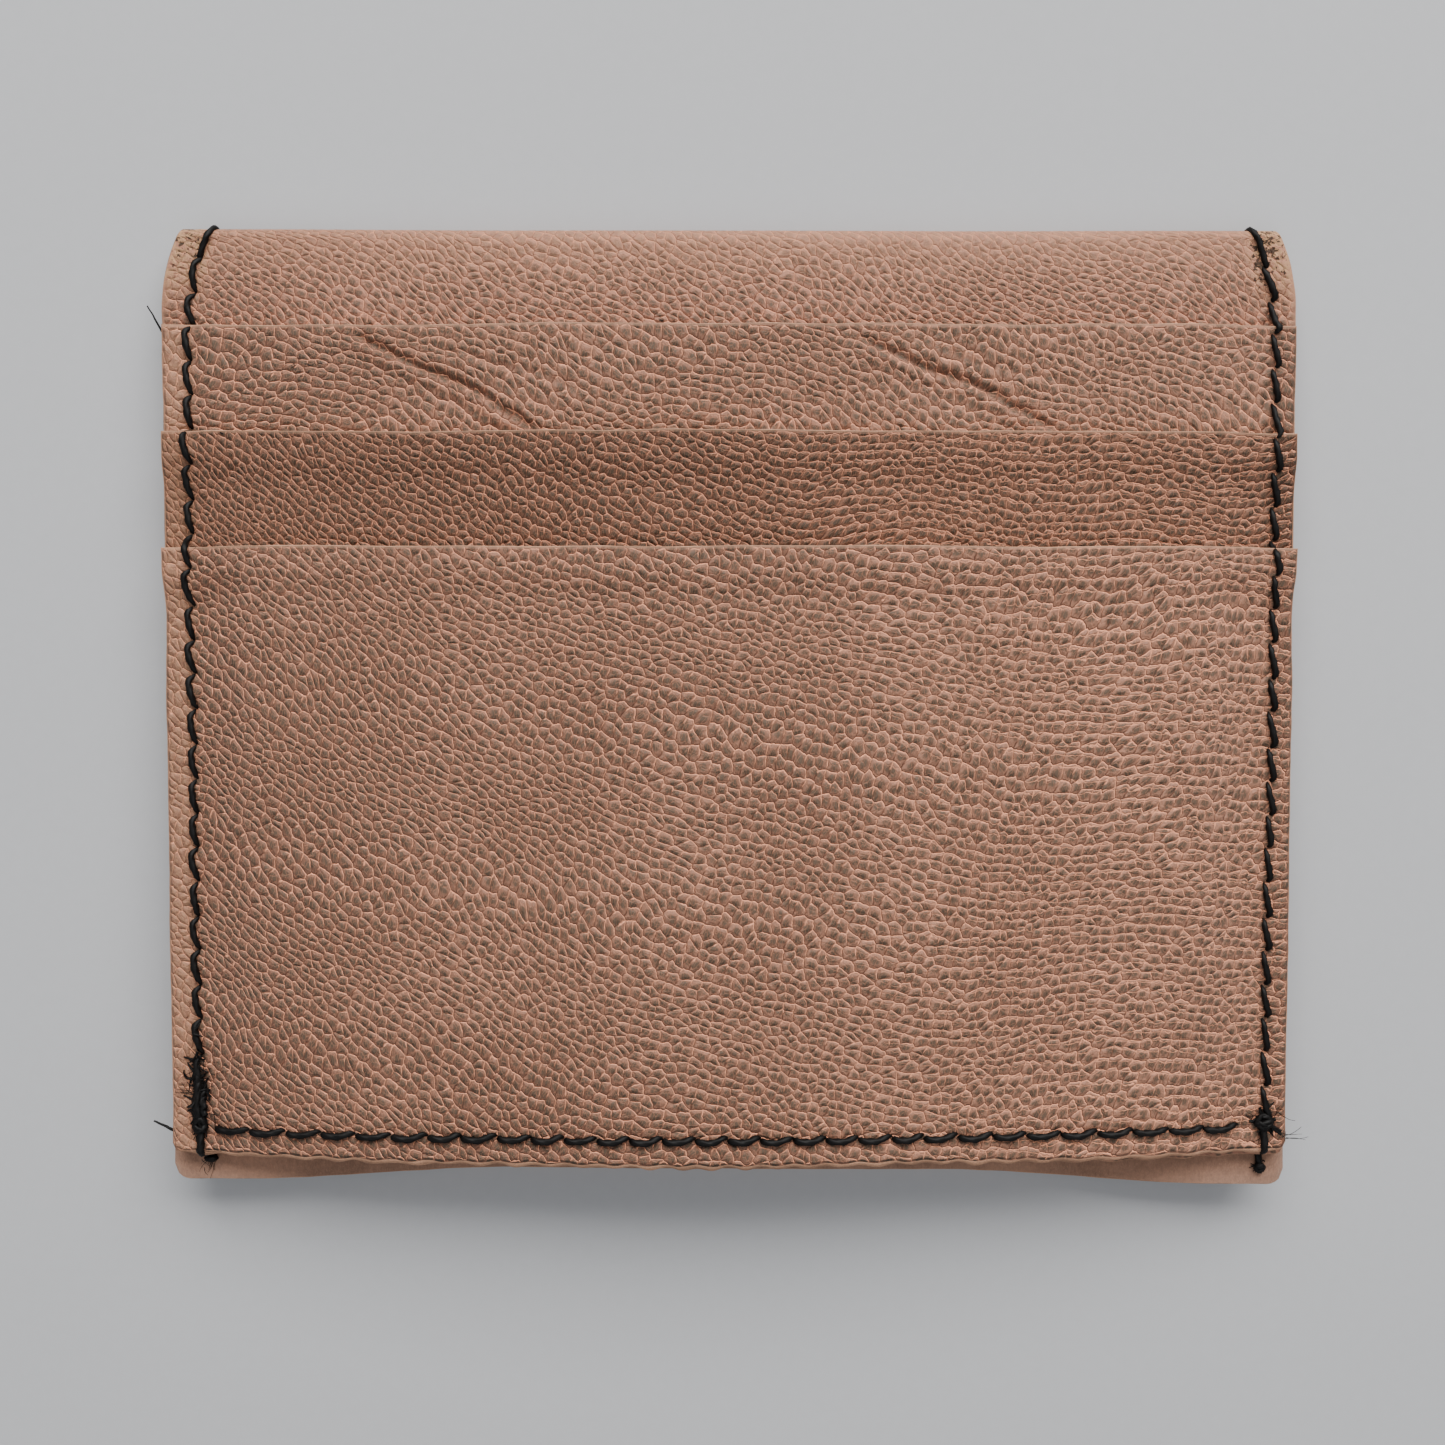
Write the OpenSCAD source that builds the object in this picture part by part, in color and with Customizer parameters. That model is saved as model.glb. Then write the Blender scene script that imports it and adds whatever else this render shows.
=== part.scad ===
// Slim leather card holder: one panel folded over the top, three card panels sewn to its front.
// It lies on its back. X runs across, Y runs up towards the fold, Z comes out of the front.
// Heights named below are measured up the holder from the lower edge of its back.

/* [Overall size] */
// Width across the upper half
holder_w = 100; // [94:0.5:108]
// Height from the fold down to the lower edge of the back
holder_h = 84.8; // [83:0.2:92]
// How much each side edge runs in towards the lower edge
side_taper = 0.6; // [0:0.1:1.5]
// How far each side edge draws in where it rounds the fold
fold_taper = 1.8; // [0:0.1:2.5]
// Radius of the lower corners
corner_r = 2; // [0.5:0.1:3]

/* [Leather] */
// Thickness of the folded panel
body_t = 1.0; // [0.8:0.1:1.4]
// Thickness of the three card panels
pocket_t = 0.8; // [0.6:0.1:1.0]
// Room between the layers where the cards slide
card_room = 0.4; // [0.35:0.05:0.8]
// Room left between the layers where they are sewn
seam_room = 0.06; // [0.05:0.01:0.1]

/* [Shape at rest] */
// Height of the side edges above the table at the fold
edge_lift = 0.8; // [0.6:0.1:1.2]
// How much higher the side edges stand at the mouth
mouth_lift = 2.5; // [1.5:0.1:3.5]
// How far the front bows out over its side seams at the mouth
mouth_bow = 3.3; // [2.5:0.1:4.5]
// Extra room inside the fold
fold_room = 0.25; // [0:0.05:0.5]
// How far the middle of the back stands off the table, across and again lengthwise
back_hollow = 0.2; // [0.1:0.05:0.3]

/* [Card panels] */
// Height of the rim of the upper slot
upper_rim = 76.3; // [75:0.1:78]
// Height of the rim of the middle slot
middle_rim = 66.7; // [66:0.1:68]
// Height of the rim of the front pocket
front_rim = 56.6; // [55:0.1:58]
// Height of the lower edge of the front
front_edge = 3.0; // [2:0.1:4]
// Depth of the two slots behind their rims
slot_depth = 48.5; // [47:0.5:50]
// How far a slot's full-width band reaches below the next rim
band_lap = 1.8; // [1:0.1:2.4]

/* [Thread] */
// Diameter of the waxed thread in the three outer seams
thread_d = 0.55; // [0.4:0.05:0.7]
// Diameter of the fine thread in the two hidden seams
fine_d = 0.28; // [0.2:0.02:0.3]
// Stitches down each side
side_stitches = 25; // [20:1:30]
// Stitches along the lower edge
bottom_stitches = 29; // [24:1:36]
// Stitches across each hidden seam
hidden_stitches = 26; // [20:1:32]
// Distance of the left seam from its side edge
left_inset = 2.7; // [2.2:0.1:3]
// Distance of the right seam from its side edge
right_inset = 2.2; // [2:0.1:3]
// Distance of the bottom seam from the lower edge of the front
bottom_inset = 2.0; // [1.6:0.1:2.6]

/* [Hidden] */

leather = [0.61, 0.47, 0.39];
leather_dark = [0.53, 0.39, 0.32];
black_thread = [0.06, 0.05, 0.05];

// Shares of the half width at which the layers change level, and the corners' columns
stem_u = 0.88;
seam_u = 0.94;
half_columns = [0, 0.1, 0.2, 0.3, 0.4, 0.5, 0.6, 0.7, 0.8, stem_u, seam_u, 0.97, 0.985, 1];
last_half = len(half_columns) - 1;
columns = concat([for (i = [last_half:-1:1]) -half_columns[i]], half_columns);

// How the sewn layers step down past a panel's end
side_step = 3;
end_step = 4;
// The back is nearly flat out to flat_u, where it touches the table, and has risen fully at risen_u
flat_u = 0.4;
risen_u = 0.88;
fold_taper_len = 8;
fold_turn = 22.5;
bow_width_power = 2.5;
bow_edge_power = 1.3;
length_power = 1.5;
below_fold = 4.8;

upper_band = middle_rim - band_lap;
middle_band = front_rim - band_lap;
upper_stem = upper_rim - slot_depth;
middle_stem = middle_rim - slot_depth;

// Each card panel: rim, lower end of the full-width band, lower end of the stem
upper_panel = [upper_rim, upper_band, upper_stem];
middle_panel = [middle_rim, middle_band, middle_stem];
front_panel = [front_rim, front_edge, front_edge];
panels = [upper_panel, middle_panel, front_panel];

// The rows that every layer of the front shares, from its lower edge up
rows = [
    front_edge, front_edge + 3, 10, middle_stem - end_step, middle_stem, upper_stem - end_step,
    upper_stem, 36, 44, middle_band - side_step, middle_band, front_rim,
    upper_band - side_step, upper_band, middle_rim, (middle_rim + upper_rim) / 2, upper_rim,
    holder_h - below_fold
];
back_rows = [holder_h - below_fold, 68, 56, 44, 32, 20, 8, 0];

bottom_seam_y = front_edge + bottom_inset;
seam_top_y = holder_h - 1.6;
hidden_inset = 1.3;
hidden_half = 0.78 * holder_w / 2;
thread_clear = 0.03;
loop_room = 0.1;
// The fold's thread loops stand proud of the leather, so the middle is that of both together
mid_y = (holder_h + thread_d + thread_clear + loop_room) / 2;
stitch_gap = 0.16;
stitch_slant = 0.28;
stitch_end = 0.12;

function ramp(t) = min(1, max(0, t));
function smooth(t) = let (s = ramp(t)) s * s * (3 - 2 * s);

// Half the width at height y, and the place across of a column there
function half_w(y) = holder_w / 2 - side_taper * (1 - y / holder_h)
    - fold_taper * pow(ramp(1 - (holder_h - y) / fold_taper_len), 2);
function share(x, y) = abs(x) / half_w(y);

// How far the layers have opened at height y: nothing at the fold, all of it at the mouth
function opened(y) = pow(ramp(1 - y / holder_h), length_power);
function lift(y) = edge_lift + mouth_lift * opened(y);
function bow(u) = pow(max(0, 1 - pow(min(1, u / seam_u), bow_width_power)), bow_edge_power);

// Height of the inner faces of the back and of the front
function arch(y) = back_hollow * (1 - pow(2 * y / holder_h - 1, 2));
function back_z(u, y) = body_t + arch(y) + back_hollow * (1 - pow(min(1, u / flat_u), 2))
    + lift(y) * smooth((u - flat_u) / (risen_u - flat_u));
function front_z(u, y) = body_t + arch(y) + lift(y) + seam_room
    + (mouth_bow * opened(y) + fold_room) * bow(u);

// Room under a card panel, and how much of its thickness is felt at a place
function room(u) = seam_room + (card_room - seam_room) * ramp((seam_u - u) / (seam_u - 0.8));
function felt(p, u, y) = max(
    ramp(1 - (p[1] - y) / side_step),
    ramp(1 - (u - stem_u) / (seam_u - stem_u)) * ramp(1 - (p[2] - y) / end_step)
);

// Height of the face that card panel n lies on, and of the front's outermost face
function bed_z(n, u, y) = n == 0
    ? front_z(u, y) + body_t
    : bed_z(n - 1, u, y) + (room(u) + pocket_t) * felt(panels[n - 1], u, y);
function panels_over(y) = y > upper_rim ? 0 : y > middle_rim ? 1 : y > front_rim ? 2 : 3;
function top_z(u, y) = let (n = panels_over(y))
    n == 0 ? bed_z(0, u, y) : bed_z(n - 1, u, y) + room(u) + pocket_t;

// A lower edge at height y, turned up round its corners
function edge_y(y, u) = let (out = ramp((u * half_w(y) - half_w(y) + corner_r) / corner_r))
    y + corner_r * (1 - sqrt(1 - out * out));
function place(u, y, z) = [u * half_w(y), y - mid_y, z];

// A closed sheet between two grids of points, over the cells that are kept
module sheet(outer, inner, kept) {
    wide = len(outer[0]);
    count = len(outer) * wide;
    function at(j, i, side) = side * count + j * wide + i;
    function keep(j, i) = j >= 0 && i >= 0 && j < len(kept) && i < len(kept[0]) && kept[j][i];
    cells = [for (j = [0:len(kept) - 1], i = [0:len(kept[0]) - 1]) if (kept[j][i]) [j, i]];
    function wall(a, b) = [
        [at(a[0], a[1], 0), at(b[0], b[1], 0), at(b[0], b[1], 1)],
        [at(a[0], a[1], 0), at(b[0], b[1], 1), at(a[0], a[1], 1)]
    ];
    faces = [
        for (c = cells) let (j = c[0], i = c[1]) each concat(
            [
                [at(j, i, 0), at(j + 1, i + 1, 0), at(j, i + 1, 0)],
                [at(j, i, 0), at(j + 1, i, 0), at(j + 1, i + 1, 0)],
                [at(j, i, 1), at(j, i + 1, 1), at(j + 1, i + 1, 1)],
                [at(j, i, 1), at(j + 1, i + 1, 1), at(j + 1, i, 1)]
            ],
            keep(j - 1, i) ? [] : wall([j, i], [j, i + 1]),
            keep(j + 1, i) ? [] : wall([j + 1, i + 1], [j + 1, i]),
            keep(j, i - 1) ? [] : wall([j + 1, i], [j, i]),
            keep(j, i + 1) ? [] : wall([j, i + 1], [j + 1, i + 1])
        )
    ];
    polyhedron(points = concat([for (r = outer) each r], [for (r = inner) each r]), faces = faces);
}

// The folded panel: the front from its lower edge up, round the fold, and down the back
module folded_body() {
    function hollow_r(u) = (front_z(u, holder_h) - back_z(u, holder_h)) / 2;
    function turn(u, a, r) = let (
        turn_z = (front_z(u, holder_h) + back_z(u, holder_h)) / 2,
        turn_y = holder_h - body_t - hollow_r(u)
    ) [turn_y + r * cos(a), turn_z + r * sin(a)];
    function face(out) = concat(
        [for (y = rows) [for (u = columns) let (s = abs(u), e = y == rows[0] ? edge_y(y, s) : y)
            place(u, e, front_z(s, e) + out)]],
        [for (a = [90:-fold_turn:-90]) [for (u = columns) let (s = abs(u),
            p = turn(s, a, hollow_r(s) + out)) place(u, p[0], p[1])]],
        [for (y = back_rows) [for (u = columns) let (s = abs(u), e = y == 0 ? edge_y(y, s) : y)
            place(u, e, back_z(s, e) - out)]]
    );
    outer = face(body_t);
    kept = [for (j = [1:len(outer) - 1]) [for (i = [1:len(columns) - 1]) true]];
    color(leather) sheet(outer, face(0), kept);
}

// Card panel n: a full-width band under its rim, and a narrower stem down to its lower end
module card_panel(n) {
    p = panels[n];
    used = [for (y = rows) if (y >= p[2] && y <= p[0]) y];
    function face(above) = [for (y = used) [for (u = columns) let (s = abs(u),
        e = y == rows[0] ? edge_y(y, s) : y) place(u, e, bed_z(n, s, e) + room(s) + above)]];
    kept = [for (j = [0:len(used) - 2]) [for (i = [0:len(columns) - 2])
        used[j] >= p[1] || (columns[i] >= -stem_u && columns[i + 1] <= stem_u)]];
    sheet(face(pocket_t), face(0), kept);
}

module upper_slot_panel() { color(leather) card_panel(0); }
module middle_slot_panel() { color(leather_dark) card_panel(1); }
module front_pocket_panel() { color(leather) card_panel(2); }

// A straight run of thread from a to b, with its ends rounded off
module run(a, b, d) {
    v = b - a;
    len_v = norm(v);
    translate(a) rotate([0, acos(v[2] / len_v), atan2(v[1], v[0])])
        rotate_extrude($fn = 24)
            polygon([
                [0, 0], [d * 0.3, 0], [d / 2, stitch_end], [d / 2, len_v - stitch_end],
                [d * 0.3, len_v], [0, len_v]
            ]);
}

// The highest place of the front between two heights at the seam, and the lowest of the back
function over_front(x, y1, y2, d) = thread_clear + d / 2
    + max([for (k = [0:6]) let (y = y1 + (y2 - y1) * k / 6) top_z(share(x, y), y)]);
function under_back(x, y, d) = back_z(share(x, y), y) - body_t - thread_clear - d / 2;

// A side seam: a run on the front and on the back for each stitch, and a loop over the fold
module side_seam(side, inset) {
    step = (seam_top_y - bottom_seam_y) / side_stitches;
    loop_r = body_t + thread_d / 2 + thread_clear + loop_room;
    function seam_x(y) = side * (half_w(y) - inset);
    for (k = [0:side_stitches - 1]) {
        low = bottom_seam_y + k * step + stitch_gap;
        high = bottom_seam_y + (k + 1) * step - stitch_gap;
        top = over_front(seam_x(low), low, high, thread_d);
        run(
            [seam_x(low) + stitch_slant / 2, low - mid_y, top],
            [seam_x(high) - stitch_slant / 2, high - mid_y, top], thread_d
        );
        if (k < side_stitches - 1)
            run(
                [seam_x(low), low - mid_y, under_back(seam_x(low), low, thread_d)],
                [seam_x(high), high - mid_y, under_back(seam_x(high), high, thread_d)],
                thread_d
            );
    }
    loop_z = (front_z(seam_u, holder_h) + back_z(seam_u, holder_h)) / 2;
    loop_y = holder_h - body_t - (front_z(seam_u, holder_h) - back_z(seam_u, holder_h)) / 2;
    translate([seam_x(holder_h), loop_y - mid_y, loop_z]) rotate([0, 90, 0])
        rotate_extrude(angle = 160, start = 10, $fn = 48)
            translate([loop_r, 0]) circle(d = thread_d, $fn = 24);
}

// The knot that locks a side seam at its lower corner, lying on the front
module knot(side, inset) {
    knot_d = 0.9;
    x = side * (half_w(bottom_seam_y) - inset);
    y = bottom_seam_y - 0.6;
    translate([x, y - mid_y, top_z(share(x, y), y) + knot_d / 2 + thread_clear])
        sphere(d = knot_d, $fn = 32);
}

module left_seam_thread() {
    color(black_thread) { side_seam(-1, left_inset); knot(-1, left_inset); }
}
module right_seam_thread() {
    color(black_thread) { side_seam(1, right_inset); knot(1, right_inset); }
}

// The bottom seam joins the front pocket to the folded panel's front, not to its back
module bottom_seam_thread() {
    start = -half_w(bottom_seam_y) + left_inset + 1.3;
    step = (2 * half_w(bottom_seam_y) - left_inset - right_inset - 2.6) / bottom_stitches;
    y = bottom_seam_y;
    r = thread_d / 2 + thread_clear;
    color(black_thread)
        for (k = [0:bottom_stitches - 1]) {
            a = start + k * step + stitch_gap;
            b = start + (k + 1) * step - stitch_gap;
            top = r + max(top_z(share(a, y), y), top_z(share((a + b) / 2, y), y), top_z(share(b, y), y));
            run([a, y - stitch_slant / 2 - mid_y, top],
                [b, y + stitch_slant / 2 - mid_y, top], thread_d);
            run([a, y - mid_y, front_z(share(a, y), y) - r],
                [b, y - mid_y, front_z(share(b, y), y) - r], thread_d);
        }
}

// A hidden seam closes a slot: it joins a stem's lower end to the folded panel's front
module hidden_seam(n) {
    y = panels[n][2] + hidden_inset;
    step = 2 * hidden_half / hidden_stitches;
    r = fine_d / 2 + thread_clear;
    function over(x) = bed_z(n, share(x, y), y) + room(share(x, y)) + pocket_t + r;
    function under(x) = front_z(share(x, y), y) - r;
    color(black_thread)
        for (k = [0:hidden_stitches - 1]) {
            a = -hidden_half + k * step + stitch_gap;
            b = -hidden_half + (k + 1) * step - stitch_gap;
            run([a, y - mid_y, over(a)], [b, y - mid_y, over(b)], fine_d);
            run([a, y - mid_y, under(a)], [b, y - mid_y, under(b)], fine_d);
        }
}

module upper_slot_seam_thread() { hidden_seam(0); }
module middle_slot_seam_thread() { hidden_seam(1); }

folded_body();
upper_slot_panel();
middle_slot_panel();
front_pocket_panel();
left_seam_thread();
right_seam_thread();
bottom_seam_thread();
upper_slot_seam_thread();
middle_slot_seam_thread();
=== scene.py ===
"""Slim leather card holder: a folded panel, three card panels and five sewn seams, with its stage."""

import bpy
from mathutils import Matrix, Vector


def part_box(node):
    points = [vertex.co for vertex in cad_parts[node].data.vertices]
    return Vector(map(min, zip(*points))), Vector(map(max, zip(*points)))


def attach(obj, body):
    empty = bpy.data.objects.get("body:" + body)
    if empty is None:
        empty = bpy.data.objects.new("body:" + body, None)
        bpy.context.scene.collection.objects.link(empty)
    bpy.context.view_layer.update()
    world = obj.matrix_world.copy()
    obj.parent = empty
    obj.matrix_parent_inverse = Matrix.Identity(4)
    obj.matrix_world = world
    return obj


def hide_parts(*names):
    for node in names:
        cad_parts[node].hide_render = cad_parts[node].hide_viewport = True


bl_info = {
    "name": "Card Holder",
    "version": (1, 0, 0),
    "blender": (4, 5, 0),
    "location": "3D View > Sidebar > Card Holder",
    "description": "Builds a sewn leather card holder around its packed frame",
    "category": "Add Mesh",
}

import math

import bpy
import numpy as np
from bpy.props import FloatProperty, FloatVectorProperty, IntProperty, PointerProperty
from mathutils import Vector

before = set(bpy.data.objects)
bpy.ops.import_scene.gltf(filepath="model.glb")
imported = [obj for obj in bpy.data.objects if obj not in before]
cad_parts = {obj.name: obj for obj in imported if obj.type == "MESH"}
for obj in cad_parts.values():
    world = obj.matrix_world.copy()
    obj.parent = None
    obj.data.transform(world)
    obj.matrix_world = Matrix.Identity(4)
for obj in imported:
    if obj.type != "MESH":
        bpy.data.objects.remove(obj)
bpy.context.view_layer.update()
BODY_LOW, BODY_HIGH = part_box("folded_body")
HOLDER_HEIGHT = BODY_HIGH.y - BODY_LOW.y
HOLDER_WIDTH = BODY_HIGH.x - BODY_LOW.x + 0.0001
MM = 0.001

# How thread is laid: point spacing in millimetres, sides, twist length in millimetres, strand depth
WAXED_LAY = (0.26, 9, 1.1, 0.13)
FUZZ_LAY = (0.25, 4, 5.0, 0.0)
FINE_LAY = (0.5, 6, 2.0, 0.0)
HOLE_DEPTH = 0.35       # how far a stitch's ends sink into their holes, in millimetres

CAMERA_PLACE = (-0.00147, 0.00634, 0.1350)
CAMERA_TILT = (-3.38, -0.34, 0.0)       # degrees
CAMERA_LENS, CAMERA_SENSOR = 36.86, 36.0


def ramp(t):
    return np.clip(t, 0.0, 1.0)


def ease(t):
    t = ramp(t)
    return t * t * (3 - 2 * t)


def hill(t):
    """One at zero, falling smoothly away to nothing at one and beyond."""
    return 1 - ease(np.abs(t))


def sway(x, y, size, seed):
    """Smooth unevenness between about -1 and 1: crossed waves roughly one size long."""
    rng = np.random.default_rng(seed)
    total = 0.0
    for _ in range(7):
        turn, start = rng.uniform(0, 2 * math.pi, 2)
        length = size * rng.uniform(0.6, 1.7)
        total = total + np.sin((x * math.cos(turn) + y * math.sin(turn)) * 2 * math.pi / length + start)
    return total / 3.2


# ---------------------------------------------------------------- sizes and colours


def length(name, description, default):
    return FloatProperty(name=name, description=description, default=default, unit="LENGTH")


def tint(name, description, default):
    return FloatVectorProperty(name=name, description=description, default=default, subtype="COLOR", size=3)


class CARDHOLDER_PG_leather(bpy.types.PropertyGroup):
    width: length("Width", "Width across the upper half", HOLDER_WIDTH)
    height: length("Height", "From the fold down to the back's lower edge", HOLDER_HEIGHT)
    body_thickness: length("Folded panel thickness", "Leather of the folded panel", 0.0010)
    pocket_thickness: length("Card panel thickness", "Leather of the card panels", 0.0008)
    upper_rim: length("Upper slot rim", "Height of the upper slot's rim", 0.0761)
    middle_rim: length("Middle slot rim", "Height of the middle slot's rim", 0.0667)
    front_rim: length("Front pocket rim", "Height of the front pocket's rim", 0.0567)
    front_edge: length("Front lower edge", "Height of the front's lower edge", 0.0034)
    mouth_bow: length("Mouth bow", "How far the front bows out at the mouth", 0.0033)
    mouth_lift: length("Mouth lift", "How much the sides rise at the mouth", 0.0025)
    grain_row: length("Grain row", "Spacing of the grain's rows", 0.00105)
    grain_depth: length("Grain depth", "Depth of the creases between the grain's scales", 0.00006)
    body_colour: tint("Folded panel colour", "Main colour of its grain side", (0.285, 0.133, 0.087))
    pocket_colour: tint("Card panel colour", "Main colour of the lighter panels", (0.235, 0.113, 0.072))
    band_colour: tint("Middle band colour", "Main colour of the darker middle panel", (0.150, 0.069, 0.041))
    # The crease colour is also painted, a little brighter, as highlight on the scales' upper edges.
    crease_colour: tint("Crease colour", "Paler leather in the grain's creases", (0.95, 0.385, 0.215))
    flesh_colour: tint("Flesh side colour", "Suede on the leather's inner side", (0.33, 0.18, 0.118))
    edge_colour: tint("Cut edge colour", "Raw cut edges of the leather", (0.50, 0.27, 0.165))


class CARDHOLDER_PG_thread(bpy.types.PropertyGroup):
    waxed_thickness: length("Waxed thread", "Thickness of the outer seams' thread", 0.00053)
    fine_thickness: length("Fine thread", "Thickness of the hidden seams' thread", 0.00028)
    side_pitch: length("Side stitch", "Length of a stitch down the sides", 0.00302)
    bottom_pitch: length("Bottom stitch", "Length of a stitch along the lower edge", 0.00305)
    hidden_stitches: IntProperty(name="Hidden stitches", description="Stitches across each hidden seam",
                                 default=26, min=8, max=60)
    colour: tint("Thread colour", "Black waxed thread", (0.0020, 0.0016, 0.0015))


class CARDHOLDER_PG_stage(bpy.types.PropertyGroup):
    floor_size: length("Floor", "Side of the square floor", 3.0)
    floor_colour: tint("Floor colour", "Plain pale floor", (0.48, 0.485, 0.50))
    key_power: FloatProperty(name="Key light", description="Power of the key light in watts", default=15.5)

    world_strength: FloatProperty(name="Surround", description="Strength of the pale surround", default=0.36)



# ---------------------------------------------------------------- where the leather lies


def groove(across, at, holes, line, pit):
    """How far a seam pulls the leather down: a groove along it with a pit at every hole."""
    order = np.argsort(holes)
    along = np.interp(at, holes[order], order)
    between = np.abs(along - np.round(along)) * 2
    return np.exp(-across ** 2) * (line + pit * np.exp(-(between / 0.33) ** 2))


def patch(x, y, at_x, at_y, size_x, size_y):
    return np.exp(-(((x - at_x) / size_x) ** 2 + ((y - at_y) / size_y) ** 2))


class Holder:
    """The holder's shape in millimetres. Across is x, y is the height above the back's lower edge,
    u is the signed share of the half width, and z rises from the table out of the front."""

    stem_u, seam_u, flat_u, risen_u = 0.84, 0.94, 0.4, 0.88
    side_taper, fold_taper, fold_taper_len, corner_r = 0.35, 1.8, 8.0, 1.4
    edge_lift, fold_room, back_hollow = 0.8, 0.25, 0.2
    seam_room, card_room = 0.03, 0.13
    side_step, end_step = 5.0, 20.0
    skived = 0.55
    slot_depth, band_lap = 48.5, 1.8
    bottom_inset = 2.1
    trims = (-0.3, -0.35, -0.22)
    crown_drop, fold_run, edge_skew, back_flare = 1.2, 4.2, 0.38, 0.35

    def __init__(self, leather, thread):
        self.width, self.height = leather.width / MM, leather.height / MM
        self.mid_y = -BODY_LOW.y / MM
        self.crown = self.height - self.crown_drop
        self.body_t, self.pocket_t = leather.body_thickness / MM, leather.pocket_thickness / MM
        self.mouth_bow, self.mouth_lift = leather.mouth_bow / MM, leather.mouth_lift / MM
        self.front_edge = leather.front_edge / MM
        upper, middle, front = (r / MM for r in (leather.upper_rim, leather.middle_rim, leather.front_rim))
        self.rims = (upper, middle, front)
        # Each card panel: rim, lower end of its full-width band, lower end of its stem
        self.panels = (
            (upper, middle - self.band_lap, upper - self.slot_depth),
            (middle, front - self.band_lap, middle - self.slot_depth),
            (front, self.front_edge, self.front_edge),
        )
        self.seam_y = self.front_edge + self.bottom_inset
        self.thread_r = thread.waxed_thickness / MM / 2
        self.left_holes = self.side_holes(82.2, thread.side_pitch / MM, 5)
        self.right_holes = self.side_holes(81.5, thread.side_pitch / MM * 1.022, 6)
        self.bottom_holes = self.row_holes(-45.6, 45.2, thread.bottom_pitch / MM, 7)
        self.grain_row = leather.grain_row / MM

    def half_w(self, y):
        return (self.width / 2 - self.side_taper * (1 - y / self.height)
                - self.fold_taper * ramp(1 - (self.height - y) / self.fold_taper_len) ** 2)

    def opened(self, y):
        return ramp(1 - y / self.height) ** 1.5

    def lift(self, y):
        return self.edge_lift + self.mouth_lift * self.opened(y)

    def bow(self, u):
        return np.maximum(0, 1 - np.minimum(1, np.abs(u) / self.seam_u) ** 2.5) ** 1.3

    def arch(self, y):
        return self.back_hollow * (1 - (2 * y / self.height - 1) ** 2)

    def back_z(self, u, y):
        """Inner face of the back."""
        s = np.abs(u)
        return (self.body_t + self.arch(y) + self.back_hollow * (1 - np.minimum(1, s / self.flat_u) ** 2)
                + self.lift(y) * ease((s - self.flat_u) / (self.risen_u - self.flat_u)))

    def front_z(self, u, y):
        """Inner face of the front, with the soft unevenness that all the layers share."""
        x = u * self.half_w(y)
        inside = ease((self.seam_u - np.abs(u)) / 0.12) * ease((self.height - y) / 14)
        return (self.body_t + self.arch(y) + self.lift(y) + self.seam_room
                + (self.mouth_bow * self.opened(y) + self.fold_room) * self.bow(u)
                + (0.2 * sway(x, 0.6 * y, 27, 11) + 0.07 * sway(x, 0.7 * y, 10, 12)) * inside)

    def fold(self, u):
        """The turn at the fold: its inner radius, and the height and depth of its centre."""
        crown = self.crown + 0 * u
        front, back = self.front_z(u, crown), self.back_z(u, crown)
        hollow = np.maximum(0.02, (front - back) / 2)
        return hollow, self.height - self.body_t - hollow, (front + back) / 2

    def room(self, u):
        return self.seam_room + (self.card_room - self.seam_room) * ease((self.seam_u - np.abs(u)) / 0.14)

    def thickness(self, n, y):
        """Thickness of card panel n: its stem is skived thinner so that it doesn't show through."""
        if n == 2:
            return self.pocket_t + 0 * y
        return self.pocket_t * (self.skived + (1 - self.skived) * ease((y - self.panels[n][1] + 3) / 3))

    def felt(self, n, u, y):
        """How much of card panel n's thickness is felt by what lies on it."""
        _, band, stem = self.panels[n]
        across = 1 - ease((np.abs(u) - self.stem_u) / (self.seam_u - self.stem_u))
        beside = ease(1 - (band - y) / self.side_step)
        return np.maximum(beside, across * ease(1 - (stem - y) / self.end_step))

    def bed_z(self, n, u, y):
        """The face that card panel n lies on."""
        z = self.front_z(u, y) + self.body_t
        for k in range(n):
            z = z + (self.room(u) + self.thickness(k, y)) * self.felt(k, u, y)
        return z

    def panel_z(self, n, u, y):
        """Inner face of card panel n. Its rim stands a hair off the panel behind it."""
        x = u * self.half_w(y)
        gape = 0.16 * ease(1 - (self.rims[n] - y) / 7) * ease((0.9 - np.abs(u)) / 0.25)
        return self.bed_z(n, u, y) + self.room(u) + gape * (1 + 0.6 * sway(x, y * 0, 30, 20 + n))

    def top_z(self, u, y):
        """The outermost face of the front, as the thread meets it."""
        y = np.asarray(y, float) + 0 * u
        z = self.front_z(u, y) + self.body_t
        for n in range(3):
            z = np.where(y <= self.rims[n], self.panel_z(n, u, y) + self.thickness(n, y), z)
        z = np.where(y < self.front_edge, self.back_z(u, y), z)
        return z - self.press(u * self.half_w(y), y)

    def side_holes(self, top, pitch, seed):
        rng = np.random.default_rng(seed)
        count = int((top - self.seam_y) / pitch + 0.6)
        pitch = (top - self.seam_y - 0.5) / count
        steps = np.arange(count + 1) * pitch
        steps[1:-1] += rng.uniform(-0.11, 0.11, count - 1)
        return top - steps

    def row_holes(self, start, end, pitch, seed):
        rng = np.random.default_rng(seed)
        count = int((end - start) / pitch + 0.5)
        # The stitches are a little shorter towards both ends of the row
        share = np.linspace(0, 1, count + 1)
        share = share + 0.012 * np.sin(2 * math.pi * share)
        at = start + (end - start) * share
        at[1:-1] += rng.uniform(-0.1, 0.1, count - 1)
        return at

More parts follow.
